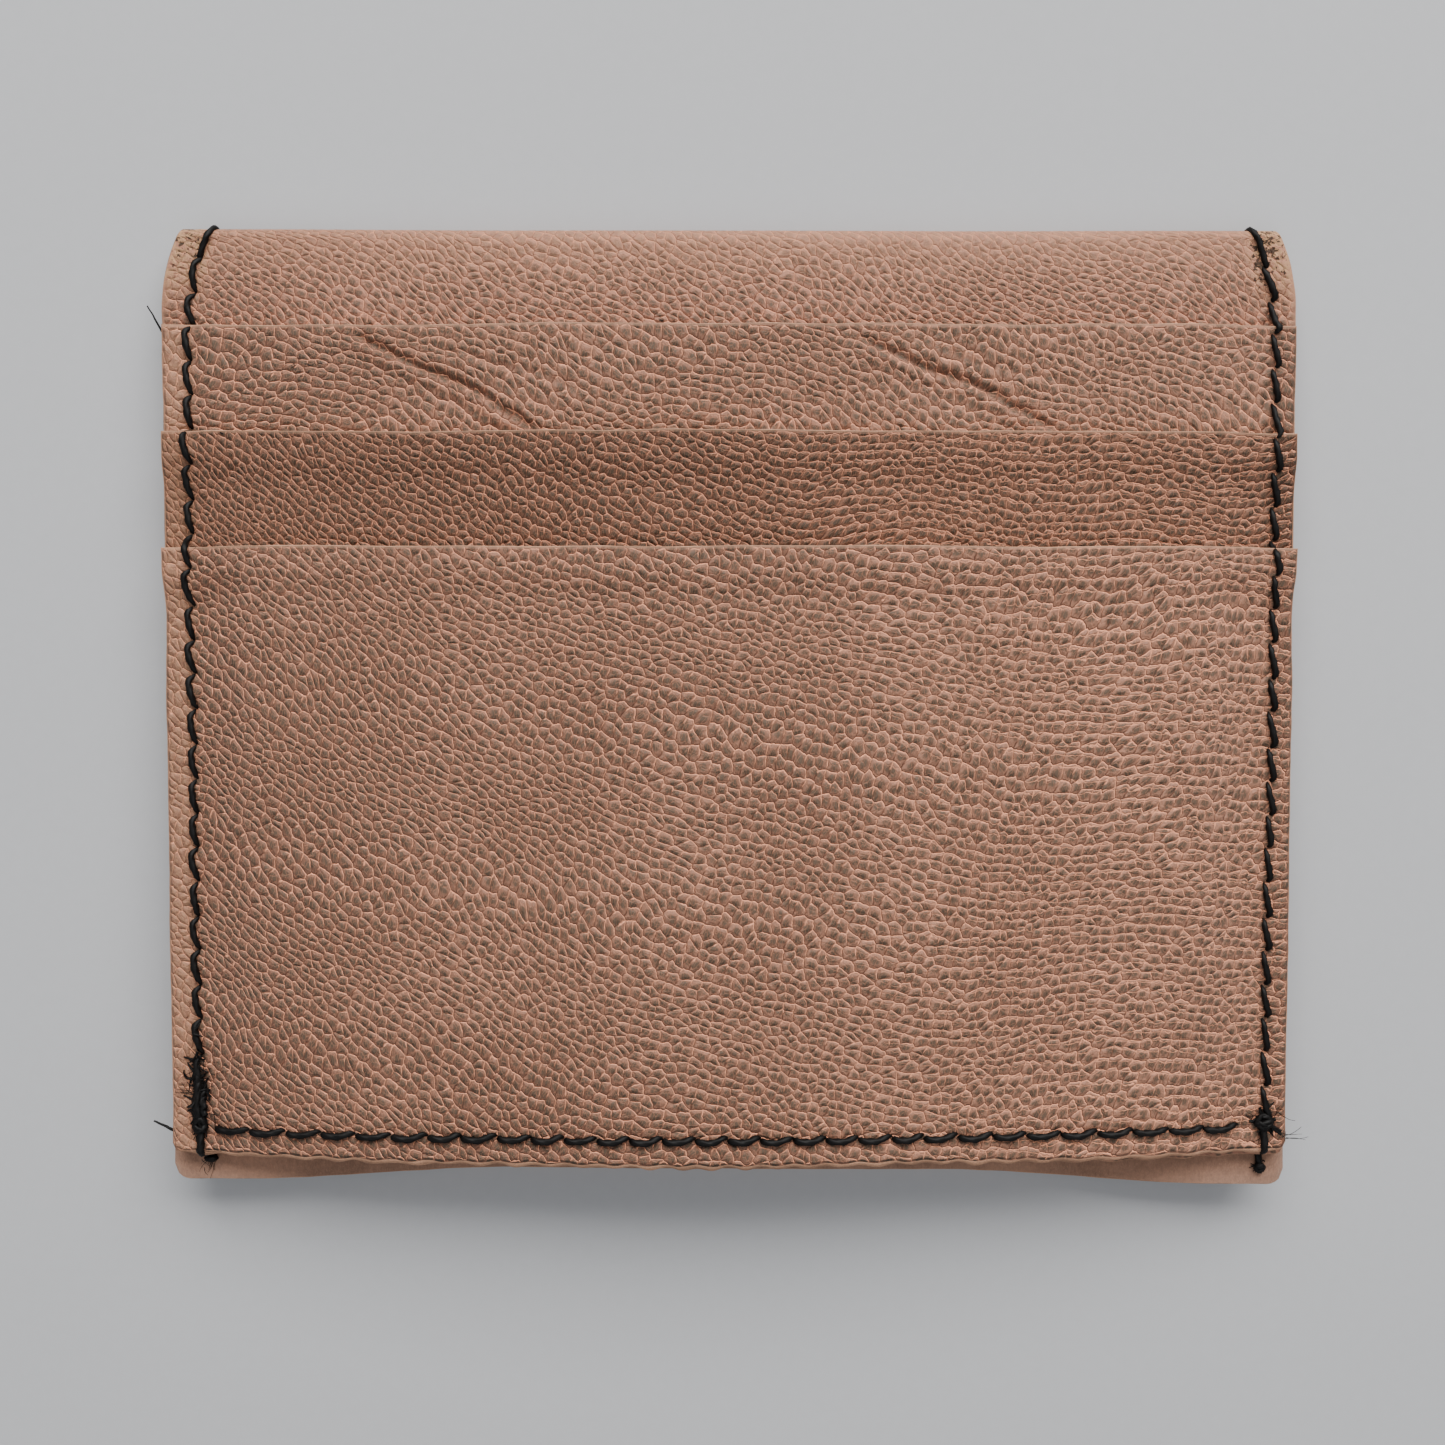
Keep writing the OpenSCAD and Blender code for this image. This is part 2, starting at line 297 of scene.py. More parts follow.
    def seam_x(self, side, y):
        """Where the side seams run."""
        w = self.half_w(y)
        if side < 0:
            return -np.minimum(47.45, w - 2.55) + 0.12 * sway(y, 0 * y, 40, 31)
        return np.minimum(47.95, w - 2.1) + 0.12 * sway(y, 0 * y, 40, 32)

    def press(self, x, y):
        """How deep the thread pulls the outer leather down along the seams."""
        x, y = np.asarray(x, float), np.asarray(y, float)
        depth = np.zeros(np.broadcast(x, y).shape)
        for side, holes in ((-1, self.left_holes), (1, self.right_holes)):
            near = np.abs(x - self.seam_x(side, y)) < 3
            if not near.any():
                continue
            pulled = groove((x - self.seam_x(side, y)) / 0.95, y, holes, 0.07, 0.16)
            depth += np.where(near, pulled, 0) * ease((y - 3.2) / 1.5)
        near = (np.abs(y - self.seam_y) < 3) & (y > self.front_edge - 0.5)
        if near.any():
            pulled = groove((y - self.seam_y) / 0.85, x, self.bottom_holes, 0.06, 0.17)
            depth += np.where(near, pulled, 0) * ease((47 - np.abs(x)) / 1.5)
        return depth

    def creases(self, x, y):
        """Two slanting folds in the upper band where a card has been pushed in and out."""
        depth = np.zeros(np.broadcast(x, y).shape)
        for x0, y0, x1, y1, deep in ((-33.5, 76.1, -15.6, 66.3, 0.6), (10.6, 75.6, 29.6, 66.7, 0.52),
                                     (-27.0, 74.9, -11.5, 69.6, 0.16), (15.5, 75.2, 32.0, 69.9, 0.13)):
            length = math.hypot(x1 - x0, y1 - y0)
            ux, uy = (x1 - x0) / length, (y1 - y0) / length
            along = (x - x0) * ux + (y - y0) * uy
            off = -(x - x0) * uy + (y - y0) * ux - 0.35 * np.sin(along / length * 5.5 + x0) \
                - 0.12 * sway(along, 0 * along, 4, 41)
            fade = ease(along / 2.5) * ease((length - along) / 3)
            depth += deep * fade * (np.exp(-(off / 0.28) ** 2) - 0.55 * np.exp(-((off + 0.85) / 0.6) ** 2))
        return depth


# ---------------------------------------------------------------- sheets of leather


def lower_edge(holder, low, u, y, radius, reach=6.0):
    """Turns up a lower edge round its two corners; the rows above it close up."""
    w = holder.half_w(y)
    out = ramp((np.abs(u) * w - w + radius) / radius)
    up = radius * (1 - np.sqrt(np.maximum(0, 1 - out * out)))
    return y + up * ramp(1 - (y - low) / reach)


def spans(*parts):
    """Rows or columns from several stretches, each (from, to, how many)."""
    line = [np.linspace(a, b, n, endpoint=False) for a, b, n in parts]
    return np.concatenate(line + [[parts[-1][1]]])


def boundary_loop(kept):
    """The border of the kept cells, as one closed run of (row, column), kept cells on its left."""
    rows, cols = kept.shape
    padded = np.zeros((rows + 2, cols + 2), bool)
    padded[1:-1, 1:-1] = kept
    after = {}
    for j in range(rows):
        for i in np.flatnonzero(kept[j]):
            if not padded[j, i + 1]:
                after[(j, i)] = (j, i + 1)
            if not padded[j + 1, i + 2]:
                after[(j, i + 1)] = (j + 1, i + 1)
            if not padded[j + 2, i + 1]:
                after[(j + 1, i + 1)] = (j + 1, i)
            if not padded[j + 1, i]:
                after[(j + 1, i)] = (j, i)
    start = next(iter(after))
    loop = [start]
    while after[loop[-1]] != start:
        loop.append(after[loop[-1]])
    if len(loop) != len(after):
        raise RuntimeError("a sheet of leather has more than one border")
    return np.array(loop)


def cut_edge_rings(top, low, outward, thickness, r, fray):
    """Rings of points round a sheet's cut edge, from its outer face to its inner one."""
    s45 = math.sqrt(0.5)
    low_r = np.minimum(r, 0.1)
    profile = ((1 - r * (1 - s45) / thickness, r * s45), (1 - r / thickness, r),
               (0.5, r * 1.1), (low_r / thickness, r), (low_r * (1 - s45) / thickness, r - low_r * (1 - s45)))
    return [low + (top - low) * share + outward * out * fray for share, out in profile]


def inner_polygons(kept, coarse, vertex):
    """The inner face: single coarse cells, and fans where it meets the fine border."""
    block = kept[::coarse, ::coarse]
    has = np.zeros((block.shape[0] + 2, block.shape[1] + 2), bool)
    has[1:-1, 1:-1] = block
    polygons, steps = [], range(coarse)
    for bj in range(block.shape[0]):
        for bi in np.flatnonzero(block[bj]):
            j, i = bj * coarse, int(bi) * coarse
            sides = (
                (has[bj, bi + 1], [(j, i + k) for k in steps]),
                (has[bj + 1, bi + 2], [(j + k, i + coarse) for k in steps]),
                (has[bj + 2, bi + 1], [(j + coarse, i + coarse - k) for k in steps]),
                (has[bj + 1, bi], [(j + coarse - k, i) for k in steps]),
            )
            rim = [p for joined, line in sides for p in (line[:1] if joined else line)]
            rim = [vertex(*p) for p in rim][::-1]
            if len(rim) == 4:
                polygons.append(rim)
            else:
                middle = vertex(j + coarse // 2, i + coarse // 2)
                polygons += [[middle, rim[k], rim[(k + 1) % len(rim)]] for k in range(len(rim))]
    return polygons


def filled_mesh(name, points, corners, sizes, side):
    """A mesh from points in millimetres, its faces' corners and sizes, and each face's side."""
    mesh = bpy.data.meshes.new(name)
    mesh.vertices.add(len(points))
    mesh.vertices.foreach_set("co", (points * MM).astype(np.float32).ravel())
    mesh.loops.add(len(corners))
    mesh.loops.foreach_set("vertex_index", corners.astype(np.int32))
    mesh.polygons.add(len(sizes))
    mesh.polygons.foreach_set("loop_start", (np.cumsum(sizes) - sizes).astype(np.int32))
    mesh.polygons.foreach_set("use_smooth", np.ones(len(sizes), bool))
    mesh.update(calc_edges=True)
    sides = mesh.attributes.new("side", "INT", "FACE")
    sides.data.foreach_set("value", side.astype(np.int32))
    return mesh


def sheet_mesh(name, us, vs, kept, place, marks, thickness, rounding, coarse=4):
    """A closed sheet: a fine outer face, a coarser inner one, and a rounded cut edge between them.
    place(u, v, side) gives points in millimetres, side 0 inside and 1 outside."""
    u, v = np.meshgrid(us, vs)
    outer, inner = place(u, v, 1.0), place(u, v, 0.0)
    loop = boundary_loop(kept)
    lj, li = loop[:, 0], loop[:, 1]

    used = np.zeros(u.shape, bool)
    for rows in (slice(None, -1), slice(1, None)):
        for cols in (slice(None, -1), slice(1, None)):
            used[rows, cols] |= kept
    outer_index = np.where(used, np.cumsum(used.ravel()).reshape(used.shape) - 1, -1)
    count = int(used.sum())
    # Every point knows its place in the grid and its level: 0 outside, 1 on the cut edge, 2 inside
    points, at, level = [outer[used]], [np.flatnonzero(used.ravel())], [np.zeros(count, int)]

    # Directions that leave the sheet at its border
    across, along = np.gradient(outer, axis=1), np.gradient(outer, axis=0)
    across /= np.linalg.norm(across, axis=2, keepdims=True)
    along /= np.linalg.norm(along, axis=2, keepdims=True)
    step = np.roll(loop, -1, 0) - loop
    leave = np.stack([step[:, 0], -step[:, 1]], 1).astype(float)
    leave = np.clip(leave + np.roll(leave, 1, 0), -1, 1)
    outward = across[lj, li] * leave[:, :1] + along[lj, li] * leave[:, 1:]
    run = np.arange(len(loop)) * 0.3
    fray = 1 + 0.22 * sway(run, run * 0, 3.1, 51)
    r = rounding(u[lj, li], v[lj, li])[:, None]
    rings = [outer_index[lj, li]]
    for ring in cut_edge_rings(outer[lj, li], inner[lj, li], outward, thickness, r, fray[:, None]):
        points.append(ring)
        rings.append(np.arange(count, count + len(loop)))
        at.append(lj * u.shape[1] + li)
        level.append(np.full(len(loop), 1))
        count += len(loop)

    inner_index, inner_at = np.full(u.shape, -1), []

    def inner_vertex(j, i):
        if inner_index[j, i] < 0:
            inner_index[j, i] = count + len(inner_at)
            inner_at.append((j, i))
        return inner_index[j, i]

    polygons = inner_polygons(kept, coarse, inner_vertex)
    inner_at = np.array(inner_at)
    points.append(inner[inner_at[:, 0], inner_at[:, 1]])
    at.append(inner_at[:, 0] * u.shape[1] + inner_at[:, 1])
    level.append(np.full(len(inner_at), 2))
    rings.append(inner_index[lj, li])

    cj, ci = np.nonzero(kept)
    quads = [np.stack([outer_index[cj, ci], outer_index[cj, ci + 1],
                       outer_index[cj + 1, ci + 1], outer_index[cj + 1, ci]], 1)]
    for a, b in zip(rings[:-1], rings[1:]):
        quads.append(np.stack([a, b, np.roll(b, -1), np.roll(a, -1)], 1))
    edge_quads = sum(len(ring) for ring in quads[1:])
    quads = np.concatenate(quads)
    corners = np.concatenate([quads.ravel(), np.concatenate([np.array(p) for p in polygons])])
    sizes = np.concatenate([np.full(len(quads), 4), np.array([len(p) for p in polygons])])
    side = np.repeat([0, 2, 1], [len(cj), edge_quads, len(polygons)])
    mesh = filled_mesh(name, np.concatenate(points), corners, sizes, side)

    at, level = np.concatenate(at), np.concatenate(level)
    for key, field in marks(u, v).items():
        flat = field.reshape(-1, field.shape[-1])[at].copy()
        if key == "marks":
            flat[level > 0, 0] = 0
        attribute = mesh.attributes.new(key, "FLOAT_VECTOR", "POINT")
        attribute.data.foreach_set("vector", flat.astype(np.float32).ravel())
    if mesh.validate():
        raise RuntimeError(f"{name}: the sheet has broken faces")
    return mesh


def stack(*fields):
    return np.stack(np.broadcast_arrays(*fields), -1).astype(float)


def grain_flow(holder, n, x, s):
    """Place in the grain's own rows: along a row, across the rows, and how much the rows line up."""
    row = holder.grain_row
    if n == 2:      # front pocket: rows slant down on the left and lie level on the right
        t = ramp((x + 52) / 88)
        slant, cell, size = -0.8 * 88 / 2 * (1 - t) ** 2, 0.92, 0.86
        along = x - 0.28 * s
        lined = ease((x - 4) / 30) * 0.8 + 0.1
    elif n == 1:    # middle panel: slanting columns that turn into a fine level grid
        t = ramp((x + 52) / 75)
        slant, cell, size = -0.9 * 75 / 2 * (1 - t) ** 2, 0.82, 0.76
        along = x - 0.35 * s
        lined = 0.3 + 0.6 * ease((x + 5) / 30)
    elif n == 0:    # upper panel: larger, shallower scales
        slant, cell, size = 0.35 * x, 0.9, 0.86
        along = x - 0.2 * s
        lined = 0.2 + 0 * x
    else:           # folded panel: small scales drawn out along the fold
        slant, cell, size = 0.55 * x, 0.98, 0.72
        along = x - 0.4 * s
        lined = 0.25 + 0 * x
    down = (s + slant + 0.95 * sway(x, s, 24, 60 + n) + 0.12 * sway(x, s, 6, 70 + n)) / (row * size)
    along = (along + 0.7 * sway(x, s, 25, 80 + n) + 0.12 * sway(x, s, 7, 85 + n)) / (row * cell)
    return along + 40 * n, down + 90 * n, lined


def border_fade(x, y, w, low, high):
    """Nothing right at the cut edges, so that the grain doesn't fray them."""
    return ease((w - np.abs(x)) / 0.25) * ease((y - low) / 0.25) * ease((high - y) / 0.25)


def build_card_panel(holder, n, name):
    rim, band, stem = holder.panels[n]
    cols = 380
    us = np.linspace(-1, 1, cols + 1)
    if n == 2:
        vs = spans((stem, rim, 204))
        kept = np.ones((204, cols), bool)
    else:
        vs = spans((stem, band, 24), (band, rim, 48))
        kept = np.ones((72, cols), bool)
        stem_cells = 4 * int((1 - holder.stem_u) * cols / 8)
        kept[:24, :stem_cells] = False
        kept[:24, -stem_cells:] = False
    trim = holder.trims[n]

    def place(u, v, side):
        y = lower_edge(holder, stem, u, v, 0.7) if n == 2 else v
        w = holder.half_w(y) + trim + 0.05 * sway(y, u * 0, 13, 90 + n) - 0.07
        x = u * w
        bare = u * holder.half_w(y)
        z = holder.panel_z(n, u, y) + side * holder.thickness(n, y)
        if side:
            z = z - holder.press(bare, y)
            if n == 0:
                z = z - holder.creases(x, y)
            z = z + 0.035 * sway(x, y, 3.4, 100 + n)
        # Rims and the lower edge aren't ruler straight
        waver = 0.12 * sway(x, 0 * x, 33, 110 + n) + 0.05 * sway(x, 0 * x, 9, 120 + n)
        y = y + waver * ease(1 - (rim - v) / 5)
        if n == 2:
            y = y + scallop(holder, x) * ease(1 - (v - stem) / 2.5)
        return stack(x, y - holder.mid_y, z)

    def marks(u, v):
        w = holder.half_w(v)
        x = u * w
        along, down, lined = grain_flow(holder, n, x, v)
        relief = border_fade(x, v, w, stem, rim)
        if n == 0:
            relief = relief * 0.8
        tone_and_painted_shading = 0.5 + 0.17 * sway(x, v, 38, 130 + n) + 0.08 * sway(x, v, 13, 140 + n)
        # Painted light: each panel grows lighter towards the right, where the light falls more strongly.
        tone_and_painted_shading = tone_and_painted_shading + (0.3, 0.24, 0.42)[n] * (x / 50)
        # Painted light and shade: the flange outside the left seam is painted lighter and the one outside the
        # right seam darker, for how the flanges tilt to the light.
        tone_and_painted_shading = tone_and_painted_shading + 0.7 * ease((-x - 47) / 0.9) - 0.65 * ease((x - 47.6) / 0.9)
        # Painted light and shade: the front pocket is painted lighter towards its rim and darker towards its
        # lower edge, for how its face tilts to the light from above.
        if n == 2:
            tone_and_painted_shading = tone_and_painted_shading + 0.07 * ease((v - 40) / 16) - 0.05 * ease((14 - v) / 12)
        # Painted shade: the upper panel is darkened along the grooves of its slanting creases.
        if n == 0:
            tone_and_painted_shading = tone_and_painted_shading - 2.4 * np.maximum(0, holder.creases(x, v))
        wear = 0.25 * hill((rim - v) / 0.25) + 0.3 * ease((-x - 47) / 0.9)
        soil = np.zeros_like(x)
        if n == 0:
            for at_x, at_y, wide, amount in ((-37, 72.5, 4, 1.35), (33, 71.5, 4, 1.3),
                                             (20, 75.5, 1.5, 1.2), (-12, 75, 3, 0.7)):
                soil = soil + amount * patch(x, v, at_x, at_y, wide, wide * 0.75)
        soil = soil + 0.36
        return {"hide": stack(x, v, 7.0 * n), "grain": stack(along, down, lined),
                "marks": stack(relief, tone_and_painted_shading, wear), "stain": stack(soil, 0 * x, 0 * x)}

    def rounding(u, v):
        """Crisp cut edges; the lower edge of the front pocket is bevelled."""
        return 0.07 + (0.3 * (v <= stem + 0.01) * ease((1 - np.abs(u)) * 30) if n == 2 else 0 * v)

    return sheet_mesh(name, us, vs, kept, place, marks, holder.pocket_t, rounding)


def scallop(holder, x):
    """The lower edge draws up a little at every stitch of the bottom seam."""
    along = np.interp(x, holder.bottom_holes, np.arange(len(holder.bottom_holes)))
    return 0.09 * np.cos(along * 2 * math.pi) * ease((46 - np.abs(x)) / 3) + 0.08 * sway(x, 0 * x, 24, 150)


def build_folded_body(holder, name):
    """The folded panel: v runs 0 to 1 up the front, 1 to 2 round the fold and 2 to 3 down the back."""
    cols = 300
    us = np.linspace(-1, 1, cols + 1)
    height, crown = holder.height, holder.crown
    fine_from = (74.5 - holder.front_edge) / (crown - holder.front_edge)
    vs = spans((0, 0.08, 8), (0.08, fine_from, 36), (fine_from, 1, 32), (1, 2, 16), (2, 3, 160))
    kept = np.ones((len(vs) - 1, cols), bool)

    def place(u, v, side):
        hollow, turn_y, turn_z = holder.fold(u)
        y_front = holder.front_edge + (turn_y - holder.front_edge) * np.minimum(v, 1)
        y_front = lower_edge(holder, holder.front_edge, u, y_front, 0.8)
        skew = -holder.edge_skew * u
        y_back = skew + (turn_y - skew) * ramp(3 - v)
        cornered = lower_edge(holder, 0.0, u, np.maximum(y_back, 0), holder.corner_r) + np.minimum(y_back, 0)
        y_back = np.where(v > 2.5, cornered, y_back)
        angle = (1.5 - np.clip(v, 1, 2)) * math.pi
        reach = hollow + side * holder.body_t
        y = np.where(v <= 1, y_front, np.where(v >= 2, y_back, turn_y + reach * np.cos(angle)))
        z = np.where(v <= 1, holder.front_z(u, y_front) + side * holder.body_t,
                     np.where(v >= 2, holder.back_z(u, y_back) - side * holder.body_t,
                              turn_z + reach * np.sin(angle)))
        w = holder.half_w(np.minimum(y, height)) - 0.08 + 0.05 * sway(y, u * 0, 15, 93)
        w = w + np.where(v > 2, holder.back_flare * ease(1 - y / 14), 0)
        x = u * w
        if side:
            pressed = holder.press(u * holder.half_w(y), y)
            z = z - np.where(v <= 1, pressed, 0) + np.where(v >= 2, pressed * ease((y - 8) / 4), 0)
            z = z + np.where(v <= 1, 0.045 * sway(x, y, 4.2, 103) * ease((crown - y) / 3), 0)
        # The inner front peeks out below the pocket, more so towards the right
        peek = 0.12 + 0.62 * ease((x - 2) / 38)
        y = y + np.where(v <= 1, (scallop(holder, x) - peek) * ease(1 - (y - holder.front_edge) / 2.5), 0)
        return stack(x, y - holder.mid_y, z)

    def marks(u, v):
        length = crown - holder.front_edge
        run = holder.fold_run
        s = np.where(v <= 1, holder.front_edge + length * v,
                     np.where(v <= 2, crown + (v - 1) * run, crown + run + (v - 2) * height))
        y = np.where(v <= 1, s, np.where(v <= 2, height, height * (3 - v)))
        x = u * holder.half_w(np.minimum(y, height))
        along, down, lined = grain_flow(holder, 3, x, s)
        round_fold = hill((s - crown - 2.1) / 7.5)
        relief = ease((1 - np.abs(u)) * 50 / 0.6) * ease((s - holder.front_edge) / 0.6) * ease((3 - v) * 90)
        relief = relief * (1 - 0.55 * round_fold * (0.6 + 0.4 * ease((x + 20) / 50))) * 0.85
        # The fold is paler: partly burnished leather, partly painted light where it turns up towards the
        # light above.
        tone_and_painted_shading = 0.6 + 0.13 * sway(x, s, 36, 133) + 0.05 * sway(x, s, 11, 143) + 0.55 * round_fold
        corner = ease((np.abs(x) - 45.2) / 1.6) * hill((s - crown - 0.5) / 7.5)
        wear = 1.4 * corner + 0.25 * hill((50 - np.abs(x)) / 1.2) + 0.3 * round_fold
        soil = 0.3 + 1.8 * patch(x, s, -5.7, 76.9, 1.3, 0.6) + 1.7 * corner
        soil = soil + 1.1 * patch(x, s, 46.2, 80, 1.8, 3.4)
        return {"hide": stack(x, s, 21.0), "grain": stack(along, down, lined),
                "marks": stack(relief, tone_and_painted_shading, wear), "stain": stack(soil, 0 * x, 0 * x)}

    return sheet_mesh(name, us, vs, kept, place, marks, holder.body_t, lambda u, v: 0.08 + 0 * v)


# ---------------------------------------------------------------- node chains


class Chain:
    """Adds nodes to a tree one after another. The same calls work in a material and in a modifier."""

    def __init__(self, tree):
        self.tree = tree
        self.shader = tree.bl_idname == "ShaderNodeTree"
        self.count = 0

    def add(self, kind, **settings):
        node = self.tree.nodes.new(kind)
        for key, value in settings.items():
            setattr(node, key, value)
        node.location = (180 * (self.count // 6), -170 * (self.count % 6))
        self.count += 1
        return node

    def after(self, flow, kind, **settings):
        """A node that takes what flows into its first socket."""
        node = self.add(kind, **settings)
        self.put(node.inputs[0], flow)
        return node

    def put(self, socket, value):
        if isinstance(value, bpy.types.NodeSocket):
            self.tree.links.new(value, socket)
        elif value is not None:
            socket.default_value = value

    def read(self, name):
        """A three-part attribute of the piece."""
        if self.shader:
            node = self.add("ShaderNodeAttribute", attribute_type="GEOMETRY", attribute_name=name)
            return node.outputs["Vector"]
        node = self.add("GeometryNodeInputNamedAttribute", data_type="FLOAT_VECTOR")
        node.inputs["Name"].default_value = name
        return node.outputs["Attribute"]

    def math(self, how, a, b=None, c=None, clamp=False):
        node = self.add("ShaderNodeMath", operation=how, use_clamp=clamp)
        for socket, value in zip(node.inputs, (a, b, c)):
            self.put(socket, value)
        return node.outputs[0]

    def plus(self, a, b, clamp=False):
        return self.math("ADD", a, b, clamp=clamp)

    def less(self, a, b):
        return self.math("SUBTRACT", a, b)

    def times(self, a, b):
        return self.math("MULTIPLY", a, b)

    def varied(self, value, by, amount):
        """The value raised and lowered by another one that runs from 0 to 1."""
        return self.plus(value, self.times(self.less(by, 0.5), amount))

    def vector(self, how, a, b=None):
        node = self.add("ShaderNodeVectorMath", operation=how)
        self.put(node.inputs[0], a)
        if how == "SCALE":
            self.put(node.inputs["Scale"], b)
        else:
            self.put(node.inputs[1], b)
        return node.outputs["Value" if how in ("DOT_PRODUCT", "LENGTH") else "Vector"]

    def split(self, vector):
        node = self.add("ShaderNodeSeparateXYZ")
        self.put(node.inputs[0], vector)
        return node.outputs[0], node.outputs[1], node.outputs[2]

    def join(self, x, y, z=0.0):
        node = self.add("ShaderNodeCombineXYZ")
        for socket, value in zip(node.inputs, (x, y, z)):
            self.put(socket, value)
        return node.outputs[0]

    def ease(self, value, low, high, to_low=0.0, to_high=1.0):
        node = self.add("ShaderNodeMapRange", interpolation_type="SMOOTHSTEP")
        for socket, given in zip(node.inputs, (value, low, high, to_low, to_high)):
            self.put(socket, given)
        return node.outputs["Result"]

    def noise(self, vector, scale, detail=2.0, rough=0.5, out="Fac"):
        node = self.add("ShaderNodeTexNoise", noise_dimensions="3D")
        self.put(node.inputs["Vector"], vector)
        self.put(node.inputs["Scale"], scale)
        self.put(node.inputs["Detail"], detail)
        self.put(node.inputs["Roughness"], rough)
        return node.outputs[out]

    def cells(self, vector, feature, out, randomness=0.85, scale=1.0):
        node = self.add("ShaderNodeTexVoronoi", voronoi_dimensions="2D", feature=feature)
        self.put(node.inputs["Vector"], vector)
        self.put(node.inputs["Scale"], scale)
        self.put(node.inputs["Randomness"], randomness)
        return node.outputs[out]

    def blend(self, share, a, b, how="MIX"):
        node = self.add("ShaderNodeMix", data_type="RGBA", blend_type=how)
        self.put(node.inputs[0], share)
        self.put(node.inputs[6], a)
        self.put(node.inputs[7], b)
        return node.outputs[2]


def grain_chain(chain):
    """The grain of the leather: height of its scales, the creases between them, and which way each
    point faces within its scale. Colour, roughness, bump and shape all use this."""
    flow = chain.read("grain")
    along, down, lined = chain.split(flow)
    flat = chain.join(along, down)
    stir = chain.noise(flat, 0.6, 3.0, 0.6, "Color")
    stir = chain.vector("SCALE", chain.vector("SUBTRACT", stir, (0.5, 0.5, 0.5)), 0.8)
    moved = chain.vector("ADD", flat, stir)
    edge = chain.cells(moved, "DISTANCE_TO_EDGE", "Distance", 0.7)
    centre = chain.cells(moved, "F1", "Position", 0.7)
    reach = chain.cells(moved, "F1", "Distance", 0.7)
    tint = chain.cells(moved, "F1", "Color", 0.7)
    from_centre = chain.vector("SUBTRACT", moved, centre)
    width = chain.math("MULTIPLY_ADD", chain.noise(flat, 0.8, 1.0), 0.09, 0.035)
    crease = chain.ease(edge, 0.0, width, 1.0, 0.0)
    # Long lines that run along the rows
    _, moved_down, _ = chain.split(moved)
    drift = chain.times(chain.noise(flat, 1.3, 2.0), 0.7)
    row = chain.math("PINGPONG", chain.plus(moved_down, drift), 0.5)
    line = chain.times(chain.ease(row, 0.015, 0.075, 1.0, 0.0), lined)
    crease = chain.math("MAXIMUM", crease, line)
    # Fine wrinkles that cross each scale
    fine = chain.vector("MULTIPLY", moved, (3.6, 1.5, 1.0))
    wrinkle = chain.cells(fine, "DISTANCE_TO_EDGE", "Distance", 1.0)
    wrinkle = chain.ease(wrinkle, 0.0, 0.13)
    dome = chain.ease(edge, 0.0, 0.36)
    height = chain.plus(chain.times(dome, 0.5), chain.times(wrinkle, 0.12))
    height = chain.plus(height, 0.38)
    height = chain.times(height, chain.math("MULTIPLY_ADD", crease, -0.5, 1.0))
    return {"height": height, "crease": crease, "line": line, "wrinkle": wrinkle, "tint": tint,
            "from": from_centre, "reach": reach, "edge": edge}


def new_material(name):
    material = bpy.data.materials.new(name)
    material.use_nodes = True
    material.node_tree.nodes.clear()
    chain = Chain(material.node_tree)
    output = chain.add("ShaderNodeOutputMaterial")
    shader = chain.add("ShaderNodeBsdfPrincipled")
    material.node_tree.links.new(shader.outputs[0], output.inputs["Surface"])
    return material, chain, shader


def bump(chain, shader, height, distance, strength=1.0):
    node = chain.add("ShaderNodeBump")
    node.inputs["Strength"].default_value = strength
    node.inputs["Distance"].default_value = distance
    chain.put(node.inputs["Height"], height)
    chain.put(shader.inputs["Normal"], node.outputs["Normal"])


def scaled(colour, *factors):
    return [c * f for c, f in zip(colour, factors)]


def full(colour, k=1.0):
    return (*[min(1.0, c * k) for c in colour], 1.0)


